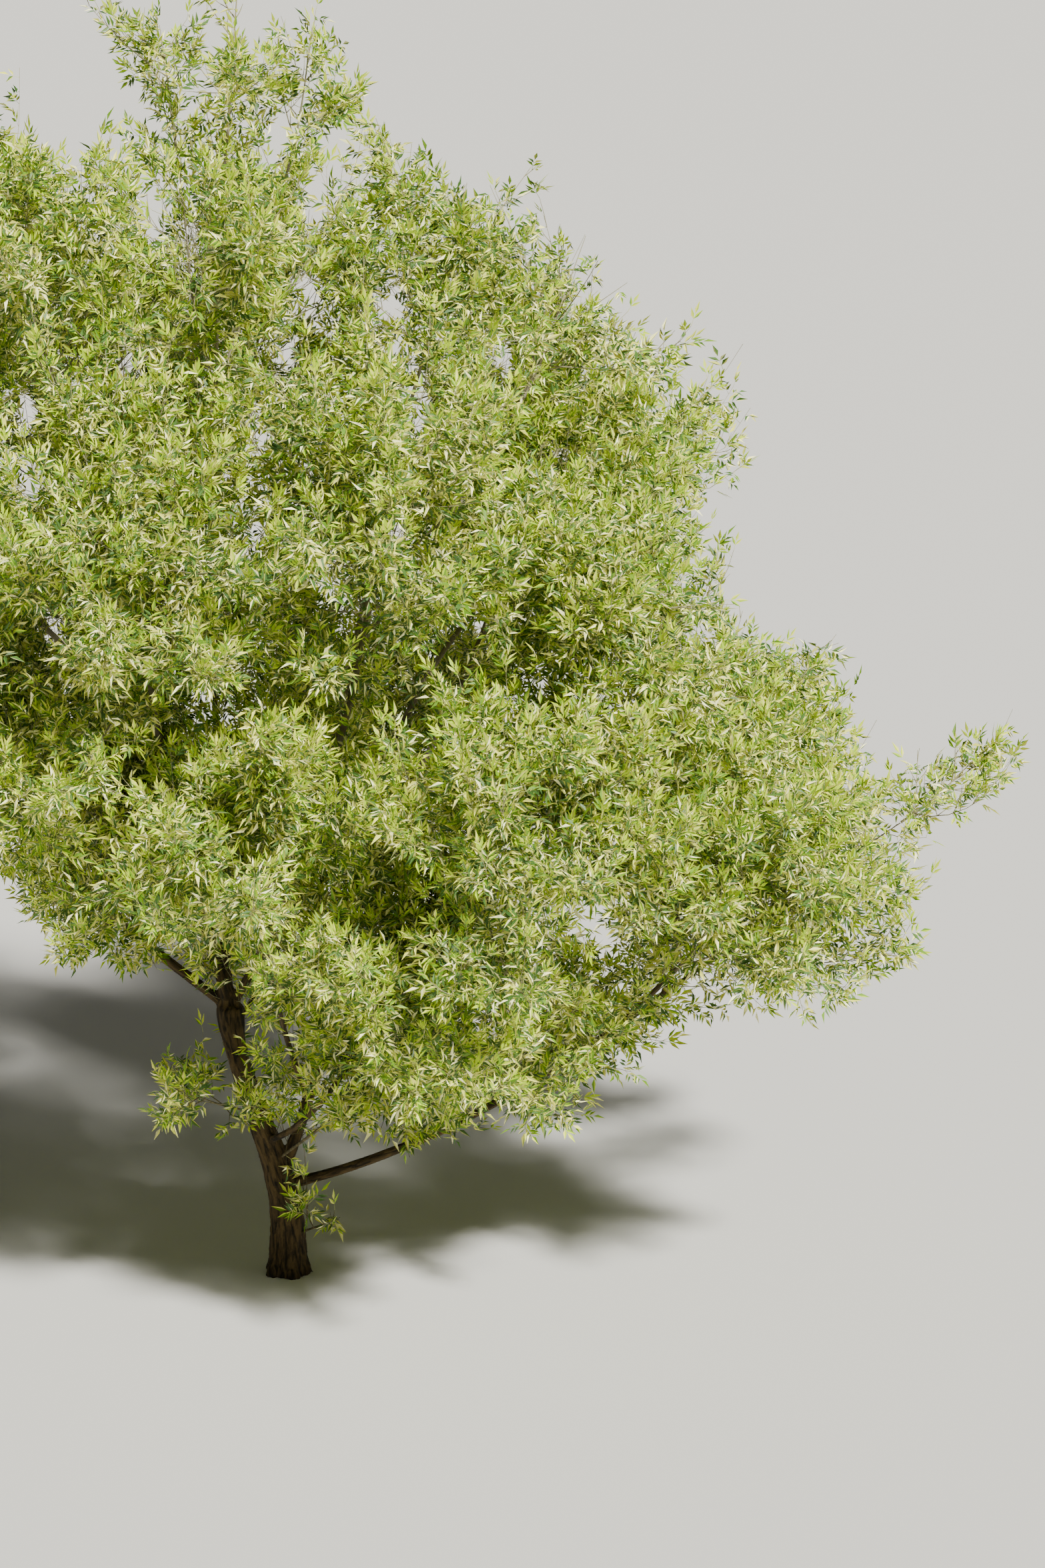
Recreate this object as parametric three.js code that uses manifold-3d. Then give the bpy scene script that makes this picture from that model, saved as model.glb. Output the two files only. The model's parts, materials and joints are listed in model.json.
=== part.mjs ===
// A small variegated box elder as an open-grown tree: a leaning trunk that forks low, tapering boughs and
// the masses of foliage that they carry. Millimetres, +X right, +Y away, +Z up. The origin is the middle of
// the flat cut at ground level.
import * as THREE from "three";
import { mergeVertices } from "three/addons/utils/BufferGeometryUtils.js";
import Module from "manifold-3d";

const wasm = await Module();
wasm.setup();

// Driving dimensions of the trunk
const TRUNK = {
  height: 1290,
  lean: 250, // how far the fork stands to the left of the foot
  leanStart: 220,
  radius: 88,
  taper: 0.038, // radius lost for each unit of height
  flare: 20,
  flareHeight: 70,
  flareLobes: 5,
  lobeDepth: 0.09,
  forkSwell: 24,
  forkSpread: 170,
  domeHeight: 0.45, // of the rounded top within the fork, beside the radius there
  domeRadius: 0.55,
  sides: 15,
  rings: 10,
  ringCrowding: 1.35, // over 1 the rings stand closer together towards the flare
};

// Driving dimensions of the boughs and of the foliage
const GAP = 0.3; // between solids that meet
const BOUGH = {
  sides: { stout: 9, slight: 6 },
  stout: 20, // root radius over which a bough is stout
  ringSpacing: 280,
  rings: { least: 3, most: 9 },
  tipShare: 0.0185, // tip radius for each unit of the radius of the mass that it carries
  joining: 1.75, // a bough's radius to this power is the sum of those that it carries
  collar: 0.22, // swelling at its root
  bow: 0.34, // how far it keeps its first and last headings, as a share of its length
};
const STRETCH = 1.2; // each mass is this much taller than it is wide
const ENTRY = 0.82; // a bough ends at this share of the way from its mass's middle to the mass's rim
const ENTRY_DEPTH = 60; // or further in, where it would lie less deep than this in the mass's space
const ENTRY_STEP = 10;
const CELL_GAP = 6; // between the spaces of neighbouring masses
const LIMB_CLEARANCE = 5;
const GROUND_CLEARANCE = 50;
const ROOM_STEP = 20; // in which the room ahead of a twig is measured
const SEED = 4107;

// Every mass of foliage: the limb that carries it leaves "from" at the share "at" of its length, first at
// "rise" degrees above level and at "tip" degrees where it meets the mass. A mass with no rise grows
// straight from the trunk. middle and radius give its space.
const MASSES = [
  { name: "low_right", from: "trunk", at: 0.33, rise: 14, tip: 36, middle: [3010, -190, 2370], radius: 310 },
  { name: "right", from: "trunk", at: 0.36, rise: 66, tip: 52, middle: [1180, 240, 3520], radius: 720 },
  { name: "centre_right", from: "trunk", at: 1, rise: 58, tip: 74, middle: [720, -260, 4600], radius: 550 },
  { name: "leader", from: "trunk", at: 1, rise: 86, tip: 82, middle: [-480, 140, 5540], radius: 330 },
  { name: "centre_left", from: "trunk", at: 1, rise: 76, tip: 72, middle: [-1120, -280, 4720], radius: 640 },
  { name: "left", from: "trunk", at: 1, rise: 34, tip: 44, middle: [-2060, 260, 2920], radius: 780 },
  { name: "front", from: "trunk", at: 0.5, rise: 22, tip: 44, middle: [600, -1220, 1800], radius: 640 },
  { name: "back", from: "trunk", at: 0.92, rise: 10, tip: 32, middle: [300, 1500, 2060], radius: 800 },
  { name: "low_skirt", from: "low_right", at: 0.17, rise: 34, tip: 46, middle: [1180, -420, 1310], radius: 450 },
  { name: "right_front", from: "low_right", at: 0.4, rise: 34, tip: 46, middle: [2080, -760, 2020], radius: 680 },
  { name: "right_back", from: "low_right", at: 0.52, rise: 40, tip: 46, middle: [2040, 960, 2110], radius: 700 },
  { name: "right_upper", from: "low_right", at: 0.6, rise: 64, tip: 76, middle: [1960, -120, 2700], radius: 540 },
  { name: "middle_front", from: "right", at: 0.3, rise: 20, tip: 42, middle: [1080, -1480, 2420], radius: 760 },
  { name: "middle_shoulder", from: "right", at: 0.55, rise: 26, tip: 48, middle: [1400, -1050, 3240], radius: 640 },
  { name: "middle_back", from: "right", at: 0.55, rise: 34, tip: 54, middle: [1180, 1300, 3500], radius: 800 },
  { name: "upper_front", from: "centre_right", at: 0.42, rise: 32, tip: 54, middle: [480, -1200, 3700], radius: 820 },
  { name: "upper_right", from: "centre_right", at: 0.62, rise: 50, tip: 62, middle: [1200, 180, 4320], radius: 560 },
  { name: "top", from: "leader", at: 0.8, rise: 76, tip: 84, middle: [-170, -60, 5720], radius: 380 },
  { name: "top_right", from: "leader", at: 0.7, rise: 62, tip: 76, middle: [150, -40, 5540], radius: 310 },
  { name: "crown_front", from: "leader", at: 0.52, rise: 54, tip: 66, middle: [-220, -740, 4740], radius: 500 },
  { name: "crown_back", from: "leader", at: 0.5, rise: 50, tip: 62, middle: [-150, 860, 4260], radius: 680 },
  { name: "left_front", from: "centre_left", at: 0.4, rise: 22, tip: 48, middle: [-560, -1180, 3480], radius: 840 },
  { name: "left_shoulder", from: "centre_left", at: 0.5, rise: 30, tip: 52, middle: [-1760, -260, 4020], radius: 700 },
  { name: "left_back", from: "centre_left", at: 0.4, rise: 24, tip: 48, middle: [-960, 1240, 3740], radius: 800 },
  { name: "low_left_front", from: "left", at: 0.42, rise: 32, tip: 44, middle: [-1260, -1120, 2760], radius: 640 },
  { name: "low_left_back", from: "left", at: 0.5, rise: 10, tip: 30, middle: [-1280, 1300, 2520], radius: 800 },
  { name: "front_high", from: "front", at: 0.42, rise: 48, tip: 66, middle: [-120, -1340, 2560], radius: 640 },
  { name: "inner", from: "centre_left", at: 0.16, rise: 64, tip: 32, middle: [-680, -440, 2120], radius: 590 },
  { name: "trunk_tuft", from: "trunk", at: 0.6, middle: [-370, -390, 970], radius: 270 },
  { name: "foot_shoot", from: "trunk", at: 0.13, middle: [205, -110, 290], radius: 190 },
  { name: "trunk_skirt", from: "trunk", at: 0.42, middle: [520, -640, 1180], radius: 410 },
];

// Driving dimensions of the stem that runs through a mass
const STEM = {
  profile: [1, 0.85, 0.7, 0.52], // radii along it, as shares of the root's, before its thin end
  rootShare: 0.9, // its root radius beside its bough's tip
  leastRadius: 6,
  lift: 0.15, // how much it turns upwards over its length
  wander: 0.13,
  leastShare: 0.5, // of the way through its space that it goes
  entryStep: 30, // how far in the room ahead of it is measured
};

// Opposite pairs of twigs on a stem, from steep angles at its foot to closer ones at its end
const PAIRS = {
  first: 0.1,
  last: 0.8,
  spacing: 160, // of a mass's radius for each pair
  least: 2,
  most: 4,
  lowAngle: 66,
  highAngle: 42,
  unevenRoll: 0.5, // radians
};

const TWIG = {
  lift: 0.18, // how much the end of a twig rises, for each unit of its length
  rootShare: 0.46, // root radius beside that of its stem
  stemTaper: 0.5,
  tip: 3.2,
  leastLength: 60,
  leastReach: 0.8, // share of its room that it grows to at least
  sunk: 0.2, // share of it that may lie close to its own stem
  leafShare: 0.66, // of its way to the rim that its end leaf takes up at most
  shortening: [1, 0.7, 0.45], // tried in turn until it fits
  bud: 12,
};

// Leaves of three pointed leaflets, larger than life: each stands for a spray
const LEAF = {
  length: 470,
  thickness: 6,
  fold: 0.05, // how far the tips of its leaflets bend down, as a share of its length
  halfWidth: 0.12, // of a leaflet, as a share of the leaf's length
  droop: 0.22,
  roll: { least: 0.35, most: 1.25 }, // radians by which it tips to one side or the other
  shrinking: [1, 0.85, 0.7, 0.55], // tried in turn until it fits
  fullSizeMass: 600, // in a mass of a smaller radius than this the leaves are smaller too
  sizes: { least: 0.35, most: 1.05 },
};

// The outline of a leaf, as shares of its length
const OUTLINE = {
  neck: { along: 0.2, side: 0.06 },
  sideTip: { along: 0.66, side: 0.48 },
  notch: { along: 0.46, side: 0.15 },
  middle: 0.36,
};

// A leaf on the side of a twig: every other twig bears one from the first length, and all from the second
const SIDE_LEAF = { at: 0.6, angle: 52, spread: 1.2, alternate: 220, every: 390 };

const COLOURS = { bark: 0x5b4a38, youngBark: 0x8b8472, leaf: 0xb4c06a };

const UP = new THREE.Vector3(0, 0, 1);
const radians = THREE.MathUtils.degToRad;

// Each twig draws from its own seed, so that finer twigs never change the coarser ones.
function stream(seed) {
  let state = seed >>> 0;
  return () => {
    state = (state + 0x6d2b79f5) >>> 0;
    let t = state;
    t = Math.imul(t ^ (t >>> 15), t | 1);
    t ^= t + Math.imul(t ^ (t >>> 7), t | 61);
    return ((t ^ (t >>> 14)) >>> 0) / 4294967296;
  };
}

function childSeed(seed, index) {
  return (Math.imul(seed, 31) + 7919 * (index + 1)) >>> 0;
}

// Paths of the trunk and of the limbs

function trunkPoint(share) {
  const z = share * TRUNK.height;
  const s = THREE.MathUtils.smoothstep(z, TRUNK.leanStart, TRUNK.height);
  return new THREE.Vector3(-TRUNK.lean * s, 0, z);
}

function trunkRadius(share) {
  const z = share * TRUNK.height;
  const flare = TRUNK.flare * Math.exp(-z / TRUNK.flareHeight);
  const swell = TRUNK.forkSwell * Math.exp(-(((z - TRUNK.height) / TRUNK.forkSpread) ** 2));
  return TRUNK.radius - TRUNK.taper * z + flare + swell;
}

function heading(from, to, rise) {
  const azimuth = Math.atan2(to.y - from.y, to.x - from.x);
  const level = Math.cos(radians(rise));
  return new THREE.Vector3(
    level * Math.cos(azimuth),
    level * Math.sin(azimuth),
    Math.sin(radians(rise)),
  );
}

// How far a mass's rim is from its middle in one direction
function rimDistance(mass, direction) {
  return mass.radius / Math.hypot(direction.x, direction.y, direction.z / STRETCH);
}

// A limb's root radius without its collar, from what it carries
function rootRadius(mass) {
  const carried = MASSES.filter((m) => m.from === mass.name).map(rootRadius);
  const own = BOUGH.tipShare * mass.radius;
  const total = [own, ...carried].reduce((sum, radius) => sum + radius ** BOUGH.joining, 0);
  return total ** (1 / BOUGH.joining);
}

// The axis of a limb, with the radius at each point of it
function limbAxis(mass, axes) {
  const start = axes.get(mass.from).pointAt(mass.at);
  const arrival = heading(start, mass.centre, mass.tip);
  let back = ENTRY * rimDistance(mass, arrival);
  const placeBack = () => mass.centre.clone().addScaledVector(arrival, -back);
  while (back > 0 && depthInside(mass, placeBack()) < ENTRY_DEPTH) back -= ENTRY_STEP;
  const end = placeBack();
  const length = start.distanceTo(end);
  const curve = new THREE.CubicBezierCurve3(
    start,
    start.clone().addScaledVector(heading(start, mass.centre, mass.rise), BOUGH.bow * length),
    end.clone().addScaledVector(arrival, -BOUGH.bow * length),
    end,
  );
  const { least, most } = BOUGH.rings;
  const rings = THREE.MathUtils.clamp(Math.round(length / BOUGH.ringSpacing), least, most);
  const root = rootRadius(mass);
  const shares = Array.from({ length: rings + 1 }, (_, k) => k / rings);
  const radii = shares.map((share) => {
    const collar = BOUGH.collar * root * Math.exp((-share * length) / (2 * root));
    return THREE.MathUtils.lerp(root, BOUGH.tipShare * mass.radius, share) + collar;
  });
  const pointAt = (share) => curve.getPoint(share);
  return { pointAt, points: shares.map(pointAt), radii, arrival };
}

// Solids from three.js geometry

function toSolid(geometry) {
  const bare = geometry.clone();
  for (const name of Object.keys(bare.attributes)) {
    if (name !== "position") bare.deleteAttribute(name);
  }
  const merged = mergeVertices(bare, 1e-4);
  return new wasm.Manifold(
    new wasm.Mesh({
      numProp: 3,
      vertProperties: new Float32Array(merged.attributes.position.array),
      triVerts: new Uint32Array(merged.index.array),
    }),
  );
}

function toGeometry(solid) {
  const mesh = solid.getMesh();
  const positions = new Float32Array(mesh.numVert * 3);
  for (let i = 0; i < mesh.numVert; i++) {
    positions.set(mesh.vertProperties.subarray(i * mesh.numProp, i * mesh.numProp + 3), i * 3);
  }
  const geometry = new THREE.BufferGeometry();
  geometry.setAttribute("position", new THREE.BufferAttribute(positions, 3));
  geometry.setIndex(new THREE.BufferAttribute(mesh.triVerts, 1));
  const faceted = geometry.toNonIndexed();
  faceted.computeVertexNormals();
  return faceted;
}

function bodySolid({ corners, faces }) {
  const geometry = new THREE.BufferGeometry();
  const positions = corners.flatMap((p) => [p.x, p.y, p.z]);
  geometry.setAttribute("position", new THREE.Float32BufferAttribute(positions, 3));
  geometry.setIndex(faces.flat());
  return toSolid(geometry);
}

// An open skin through rings of corners that all turn the same way, closed flat at its first ring
function loft(rings) {
  const sides = rings[0].length;
  const faces = [];
  for (let i = 1; i < sides - 1; i++) faces.push([0, i + 1, i]);
  for (let k = 0; k + 1 < rings.length; k++) {
    for (let i = 0; i < sides; i++) {
      const a = k * sides + i;
      const b = k * sides + ((i + 1) % sides);
      faces.push([a, b, a + sides], [b, b + sides, a + sides]);
    }
  }
  const end = Array.from({ length: sides }, (_, i) => (rings.length - 1) * sides + i);
  return { corners: rings.flat(), faces, end };
}

// Joins a closed loop of corners, in order, to a new corner
function addFan(body, loop, point) {
  const hub = body.corners.push(point) - 1;
  loop.forEach((corner, i) => body.faces.push([hub, corner, loop[(i + 1) % loop.length]]));
}

function tubeSolid(rings) {
  const tube = loft(rings);
  for (let i = 1; i < tube.end.length - 1; i++) tube.faces.push([tube.end[0], tube.end[i], tube.end[i + 1]]);
  return bodySolid(tube);
}

// The rings of a tube. Corner i of ring k lies at angles[i], and shape(angle, k) scales its radius. All
// rings are level if level is set.
function tubeRings(points, radii, angles, { side = new THREE.Vector3(1, 0, 0), shape, level } = {}) {
  const last = points.length - 1;
  const across = new THREE.Vector3();
  const carried = side.clone();
  return points.map((point, k) => {
    const ahead = points[Math.min(k + 1, last)].clone().sub(points[Math.max(k - 1, 0)]).normalize();
    if (level) ahead.copy(UP);
    if (Math.abs(carried.dot(ahead)) > 0.95) carried.set(0.1, 1, 0.1);
    carried.addScaledVector(ahead, -carried.dot(ahead)).normalize();
    across.crossVectors(ahead, carried);
    return angles.map((angle) => {
      const r = radii[k] * (shape ? shape(angle, k) : 1);
      const p = point.clone().addScaledVector(carried, r * Math.cos(angle));
      return p.addScaledVector(across, r * Math.sin(angle));
    });
  });
}

function evenAngles(sides) {
  return Array.from({ length: sides }, (_, i) => (2 * Math.PI * i) / sides);
}

function trunkSolid(extra = 0) {
  const points = [];
  const radii = [];
  for (let k = 0; k <= TRUNK.rings; k++) {
    const share = (k / TRUNK.rings) ** TRUNK.ringCrowding;
    points.push(trunkPoint(share));
    radii.push(trunkRadius(share) + extra);
  }
  points.push(trunkPoint(1).addScaledVector(UP, TRUNK.domeHeight * trunkRadius(1) + extra));
  radii.push(TRUNK.domeRadius * trunkRadius(1) + extra);
  const lobes = (angle, k) => {
    const depth = TRUNK.lobeDepth * Math.exp(-points[k].z / (2 * TRUNK.flareHeight));
    return 1 + depth * Math.cos(TRUNK.flareLobes * angle);
  };
  return tubeSolid(tubeRings(points, radii, evenAngles(TRUNK.sides), { shape: lobes, level: true }));
}

function limbSolid(axis, extra = 0) {
  const points = axis.points.map((p) => p.clone());
  points.at(-1).addScaledVector(axis.arrival, extra);
  const radii = axis.radii.map((r) => r + extra);
  const sides = radii.at(0) > BOUGH.stout ? BOUGH.sides.stout : BOUGH.sides.slight;
  return tubeSolid(tubeRings(points, radii, evenAngles(sides)));
}

// The largest body of a solid. Scraps are dropped, and a hollow that fusing has sealed is filled.
function mainBody(solid) {
  const bodies = solid.decompose();
  return bodies.reduce((best, body) => (body.volume() > best.volume() ? body : best));
}

function boxesMeet(a, b) {
  const p = a.boundingBox();
  const q = b.boundingBox();
  return [0, 1, 2].every((i) => p.min[i] < q.max[i] && q.min[i] < p.max[i]);
}

function cutClear(solid, cutters) {
  const near = cutters.filter((cutter) => boxesMeet(solid, cutter));
  return mainBody(near.reduce((left, cutter) => left.subtract(cutter), solid));
}

// The spaces of the masses

function scaledDistanceSquared(p, q) {
  return (p.x - q.x) ** 2 + (p.y - q.y) ** 2 + ((p.z - q.z) / STRETCH) ** 2;
}

// How deep a point lies inside a mass's space, under 0 where it is outside. The rim is an ellipsoid, and
// flat walls part it from its neighbours, so a leaf whose corners are inside is inside.
function depthInside(mass, point) {
  const own = scaledDistanceSquared(point, mass.centre);
  let depth = Math.min(mass.radius - Math.sqrt(own), point.z - GROUND_CLEARANCE);
  for (const { other, spread } of mass.neighbours) {
    const theirs = scaledDistanceSquared(point, other.centre) - other.radius ** 2;
    const wall = (theirs - own + mass.radius ** 2) / (2 * spread) - CELL_GAP / 2;
    depth = Math.min(depth, wall);
  }
  return depth;
}

function findNeighbours() {
  for (const mass of MASSES) mass.centre = new THREE.Vector3(...mass.middle);
  for (const mass of MASSES) {
    mass.neighbours = MASSES.filter((other) => other !== mass)
      .map((other) => ({ other, spread: Math.sqrt(scaledDistanceSquared(mass.centre, other.centre)) }))
      .filter(({ other, spread }) => spread < mass.radius + other.radius);
  }
}

// How far a straight line runs from a point before it leaves the space
function roomAhead(mass, point, direction) {
  const inside = (distance) => depthInside(mass, point.clone().addScaledVector(direction, distance)) > 0;
  let far = 0;
  while (inside(far + ROOM_STEP)) far += ROOM_STEP;
  return far;
}

// The least distance between two straight segments
function segmentDistance(p1, q1, p2, q2) {
  const d1 = q1.clone().sub(p1);
  const d2 = q2.clone().sub(p2);
  const r = p1.clone().sub(p2);
  const a = d1.dot(d1);
  const e = d2.dot(d2);
  const f = d2.dot(r);
  const c = d1.dot(r);
  const b = d1.dot(d2);
  const clamp = (x) => THREE.MathUtils.clamp(x, 0, 1);
  const denominator = a * e - b * b;
  let s = denominator > 1e-9 ? clamp((b * f - c * e) / denominator) : 0;
  const t = clamp((b * s + f) / e);
  s = clamp((b * t - c) / a);
  const near = p1.clone().addScaledVector(d1, s);
  return near.distanceTo(p2.clone().addScaledVector(d2, t));
}

function clearOfLimbs(from, to, halfWidth, limbs) {
  return limbs.every(({ points, radii }) =>
    points.slice(1).every((end, k) => {
      const keep = Math.max(radii[k], radii[k + 1]) + halfWidth + LIMB_CLEARANCE;
      return segmentDistance(from, to, points[k], end) > keep;
    }),
  );
}

// Twigs and leaves

// A side direction at an angle to a twig, turned round it by a roll
function sideways(ahead, angle, roll) {
  const base = Math.abs(ahead.z) > 0.9 ? new THREE.Vector3(1, 0, 0) : UP;
  const side = base.clone().cross(ahead).normalize().applyAxisAngle(ahead, roll);
  return ahead.clone().multiplyScalar(Math.cos(angle)).addScaledVector(side, Math.sin(angle)).normalize();
}

function pointOnPath(points, share) {
  const place = share * (points.length - 1);
  const k = Math.min(Math.floor(place), points.length - 2);
  const at = points[k].clone().lerp(points[k + 1], place - k);
  return { at, ahead: points[k + 1].clone().sub(points[k]).normalize() };
}

// A leaf of three pointed leaflets: its outline from one side of its root round to the other, and the two
// faces of its middle
function leafFrame(root, direction, roll, size) {
  const ahead = direction.clone().addScaledVector(UP, -LEAF.droop).normalize();
  const across = UP.clone().cross(ahead).normalize().applyAxisAngle(ahead, roll);
  const normal = ahead.clone().cross(across);
  const place = (along, side, rise) => {
    const p = root.clone().addScaledVector(ahead, along * LEAF.length * size);
    return p.addScaledVector(across, side * LEAF.length * size).addScaledVector(normal, rise);
  };
  const { neck, sideTip, notch, middle } = OUTLINE;
  const fold = -LEAF.fold * LEAF.length * size;
  const tip = place(1, 0, fold);
  const sideTips = [1, -1].map((side) => place(sideTip.along, side * sideTip.side, fold));
  return {
    root,
    across,
    tips: [tip, ...sideTips],
    halfWidth: LEAF.halfWidth * LEAF.length * size,
    outline: [
      place(neck.along, neck.side, 0),
      sideTips[0],
      place(notch.along, notch.side, 0),
      tip,
      place(notch.along, -notch.side, 0),
      sideTips[1],
      place(neck.along, -neck.side, 0),
    ],
    top: place(middle, 0, LEAF.thickness),
    bottom: place(middle, 0, 0),
  };
}

// Adds a leaf to a body. It grows from a loop of corners: from its right side back to its left, they are
// listed as they run over its upper face and under its lower face.
function addLeaf(body, leaf, over, under) {
  const outline = leaf.outline.map((corner) => body.corners.push(corner) - 1);
  addFan(body, [...outline, ...over].reverse(), leaf.top);
  addFan(body, [...outline, ...under], leaf.bottom);
}

function leafSolid(leaf) {
  const body = { corners: [leaf.root], faces: [] };
  addLeaf(body, leaf, [0], [0]);
  return bodySolid(body);
}

// A three-sided twig that runs on into its end leaf, or into a bud where no leaf fits
function twigSolid({ points, radii, leaf }) {
  const angles = [-30, 90, 210].map(radians);
  const body = loft(tubeRings(points, radii, angles, { side: leaf?.across }));
  const [left, top, right] = body.end;
  if (leaf) {
    addLeaf(body, leaf, [right, top, left], [right, left]);
  } else {
    const ahead = points.at(-1).clone().sub(points.at(-2)).normalize();
    addFan(body, body.end, points.at(-1).clone().addScaledVector(ahead, TWIG.bud));
  }
  return bodySolid(body);
}

function leafFits(mass, leaf, limbs) {
  if (![leaf.root, ...leaf.outline].every((corner) => depthInside(mass, corner) > 0)) return false;
  return leaf.tips.every((tip) => clearOfLimbs(leaf.root, tip, leaf.halfWidth, limbs));
}

function usualLeaf(mass) {
  return THREE.MathUtils.clamp(mass.radius / LEAF.fullSizeMass, LEAF.sizes.least, LEAF.sizes.most);
}

// A leaf at its mass's usual size or smaller, or none where it fits at no size
function fitLeaf(mass, root, direction, roll, limbs) {
  for (const share of LEAF.shrinking) {
    const leaf = leafFrame(root, direction, roll, usualLeaf(mass) * share);
    if (leafFits(mass, leaf, limbs)) return leaf;
  }
  return null;
}

function leafRoll(random) {
  const side = random() < 0.5 ? -1 : 1;
  return side * THREE.MathUtils.lerp(LEAF.roll.least, LEAF.roll.most, random());
}

// A leaf on one side of a twig, or none where it doesn't fit
function sideLeaf(mass, points, side, random, limbs) {
  const node = pointOnPath(points, SIDE_LEAF.at);
  const turn = side * Math.PI + (random() - 0.5) * SIDE_LEAF.spread;
  const out = sideways(node.ahead, radians(SIDE_LEAF.angle), turn);
  return fitLeaf(mass, node.at, out, leafRoll(random), limbs);
}

function twigFits(mass, [start, end], radius, limbs) {
  const outside = start.clone().lerp(end, TWIG.sunk);
  return depthInside(mass, end) > 2 * radius && clearOfLimbs(outside, end, radius, limbs);
}

// Grows one side twig as long as its space allows, with its end leaf and on some a side leaf.
function growTwig(grown, mass, start, direction, radius, seed, limbs, alternate) {
  const random = stream(seed);
  const chord = direction.clone().addScaledVector(UP, TWIG.lift).normalize();
  const room = roomAhead(mass, start, chord);
  const leafRoom = Math.min(LEAF.length * usualLeaf(mass), TWIG.leafShare * room);
  const full = (room - leafRoom) * THREE.MathUtils.lerp(TWIG.leastReach, 1, random());
  for (const share of TWIG.shortening) {
    const length = full * share;
    const points = [start, start.clone().addScaledVector(chord, length)];
    if (length < TWIG.leastLength || !twigFits(mass, points, radius, limbs)) continue;
    const leaf = fitLeaf(mass, points[1], chord, leafRoll(random), limbs);
    grown.twigs.push({ points, radii: [radius, TWIG.tip], leaf });
    if (length > (alternate ? SIDE_LEAF.alternate : SIDE_LEAF.every)) {
      grown.leaves.push(sideLeaf(mass, points, seed % 2, random, limbs));
    }
    return;
  }
}

// Where along a stem its pairs of twigs stand: a larger mass has more of them.
function pairPlaces(mass) {
  const count = THREE.MathUtils.clamp(Math.round(mass.radius / PAIRS.spacing), PAIRS.least, PAIRS.most);
  const places = Array.from({ length: count }, (_, k) => k / (count - 1));
  return places.map((share) => THREE.MathUtils.lerp(PAIRS.first, PAIRS.last, share));
}

// The path of a stem: it turns upwards as it goes, and wanders a little.
function stemPath(start, direction, length, random) {
  const segments = STEM.profile.length;
  const points = [start.clone()];
  const ahead = direction.clone();
  for (let k = 0; k < segments; k++) {
    points.push(points[k].clone().addScaledVector(ahead, length / segments));
    const wander = new THREE.Vector3(random() - 0.5, random() - 0.5, random() - 0.5);
    ahead.addScaledVector(UP, STEM.lift / segments).addScaledVector(wander, STEM.wander).normalize();
  }
  return points;
}

// The twigs and leaves of one mass: a stem through its space, and opposite pairs of twigs along it, each
// pair turned a quarter from the one before. A neck is where the stem starts before it meets the space.
function growMass(mass, start, direction, index, limbs, neck = []) {
  const seed = childSeed(SEED, index);
  const random = stream(seed);
  const grown = { twigs: [], leaves: [] };
  const toRim = roomAhead(mass, start.clone().addScaledVector(direction, STEM.entryStep), direction);
  const length = Math.max(toRim - LEAF.length * usualLeaf(mass), STEM.leastShare * toRim);
  const points = stemPath(start, direction, length, random);
  const root = Math.max(STEM.rootShare * BOUGH.tipShare * mass.radius, STEM.leastRadius);
  const radii = [...neck.map(() => root), ...STEM.profile.map((share) => share * root), TWIG.tip];
  const end = pointOnPath(points, 1);
  const leaf = fitLeaf(mass, end.at, end.ahead, leafRoll(random), limbs);
  grown.twigs.push({ points: [...neck, ...points], radii, leaf });
  const turn = random() * Math.PI;
  pairPlaces(mass).forEach((at, k) => {
    const node = pointOnPath(points, at);
    const angle = radians(THREE.MathUtils.lerp(PAIRS.lowAngle, PAIRS.highAngle, at));
    const roll = turn + (k * Math.PI) / 2 + (random() - 0.5) * PAIRS.unevenRoll;
    const radius = Math.max(TWIG.rootShare * root * (1 - TWIG.stemTaper * at), TWIG.tip);
    [0, 1].forEach((side) => {
      const out = sideways(node.ahead, angle, roll + side * Math.PI);
      growTwig(grown, mass, node.at, out, radius, childSeed(seed, 2 * k + side), limbs, side === k % 2);
    });
  });
  return grown;
}

function foliageSolid({ twigs, leaves }) {
  const solids = [...twigs.map(twigSolid), ...leaves.filter((leaf) => leaf).map(leafSolid)];
  return mainBody(solids.reduce((fused, piece) => fused.add(piece)));
}

// The tree

function addMesh(group, name, solid, material) {
  const mesh = new THREE.Mesh(toGeometry(solid), material);
  mesh.name = name;
  group.add(mesh);
}

// The trunk as a thick line, for keeping leaves clear of it
function trunkLine() {
  const shares = [0, 0.2, 0.4, 0.6, 0.8, 1];
  const radii = shares.map((share) => trunkRadius(share) * (1 + TRUNK.lobeDepth));
  return { pointAt: trunkPoint, points: shares.map(trunkPoint), radii };
}

// Where a mass's stem starts and heads: from its bough's tip, or from the trunk by a neck
function stemRoot(mass, axis) {
  if (axis) {
    const start = axis.points.at(-1).clone().addScaledVector(axis.arrival, GAP);
    return { start, direction: axis.arrival, neck: [] };
  }
  const root = trunkPoint(mass.at);
  const direction = mass.centre.clone().sub(root).normalize();
  const start = mass.centre.clone().addScaledVector(direction, -ENTRY * rimDistance(mass, direction));
  return { start, direction, neck: [root] };
}

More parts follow.
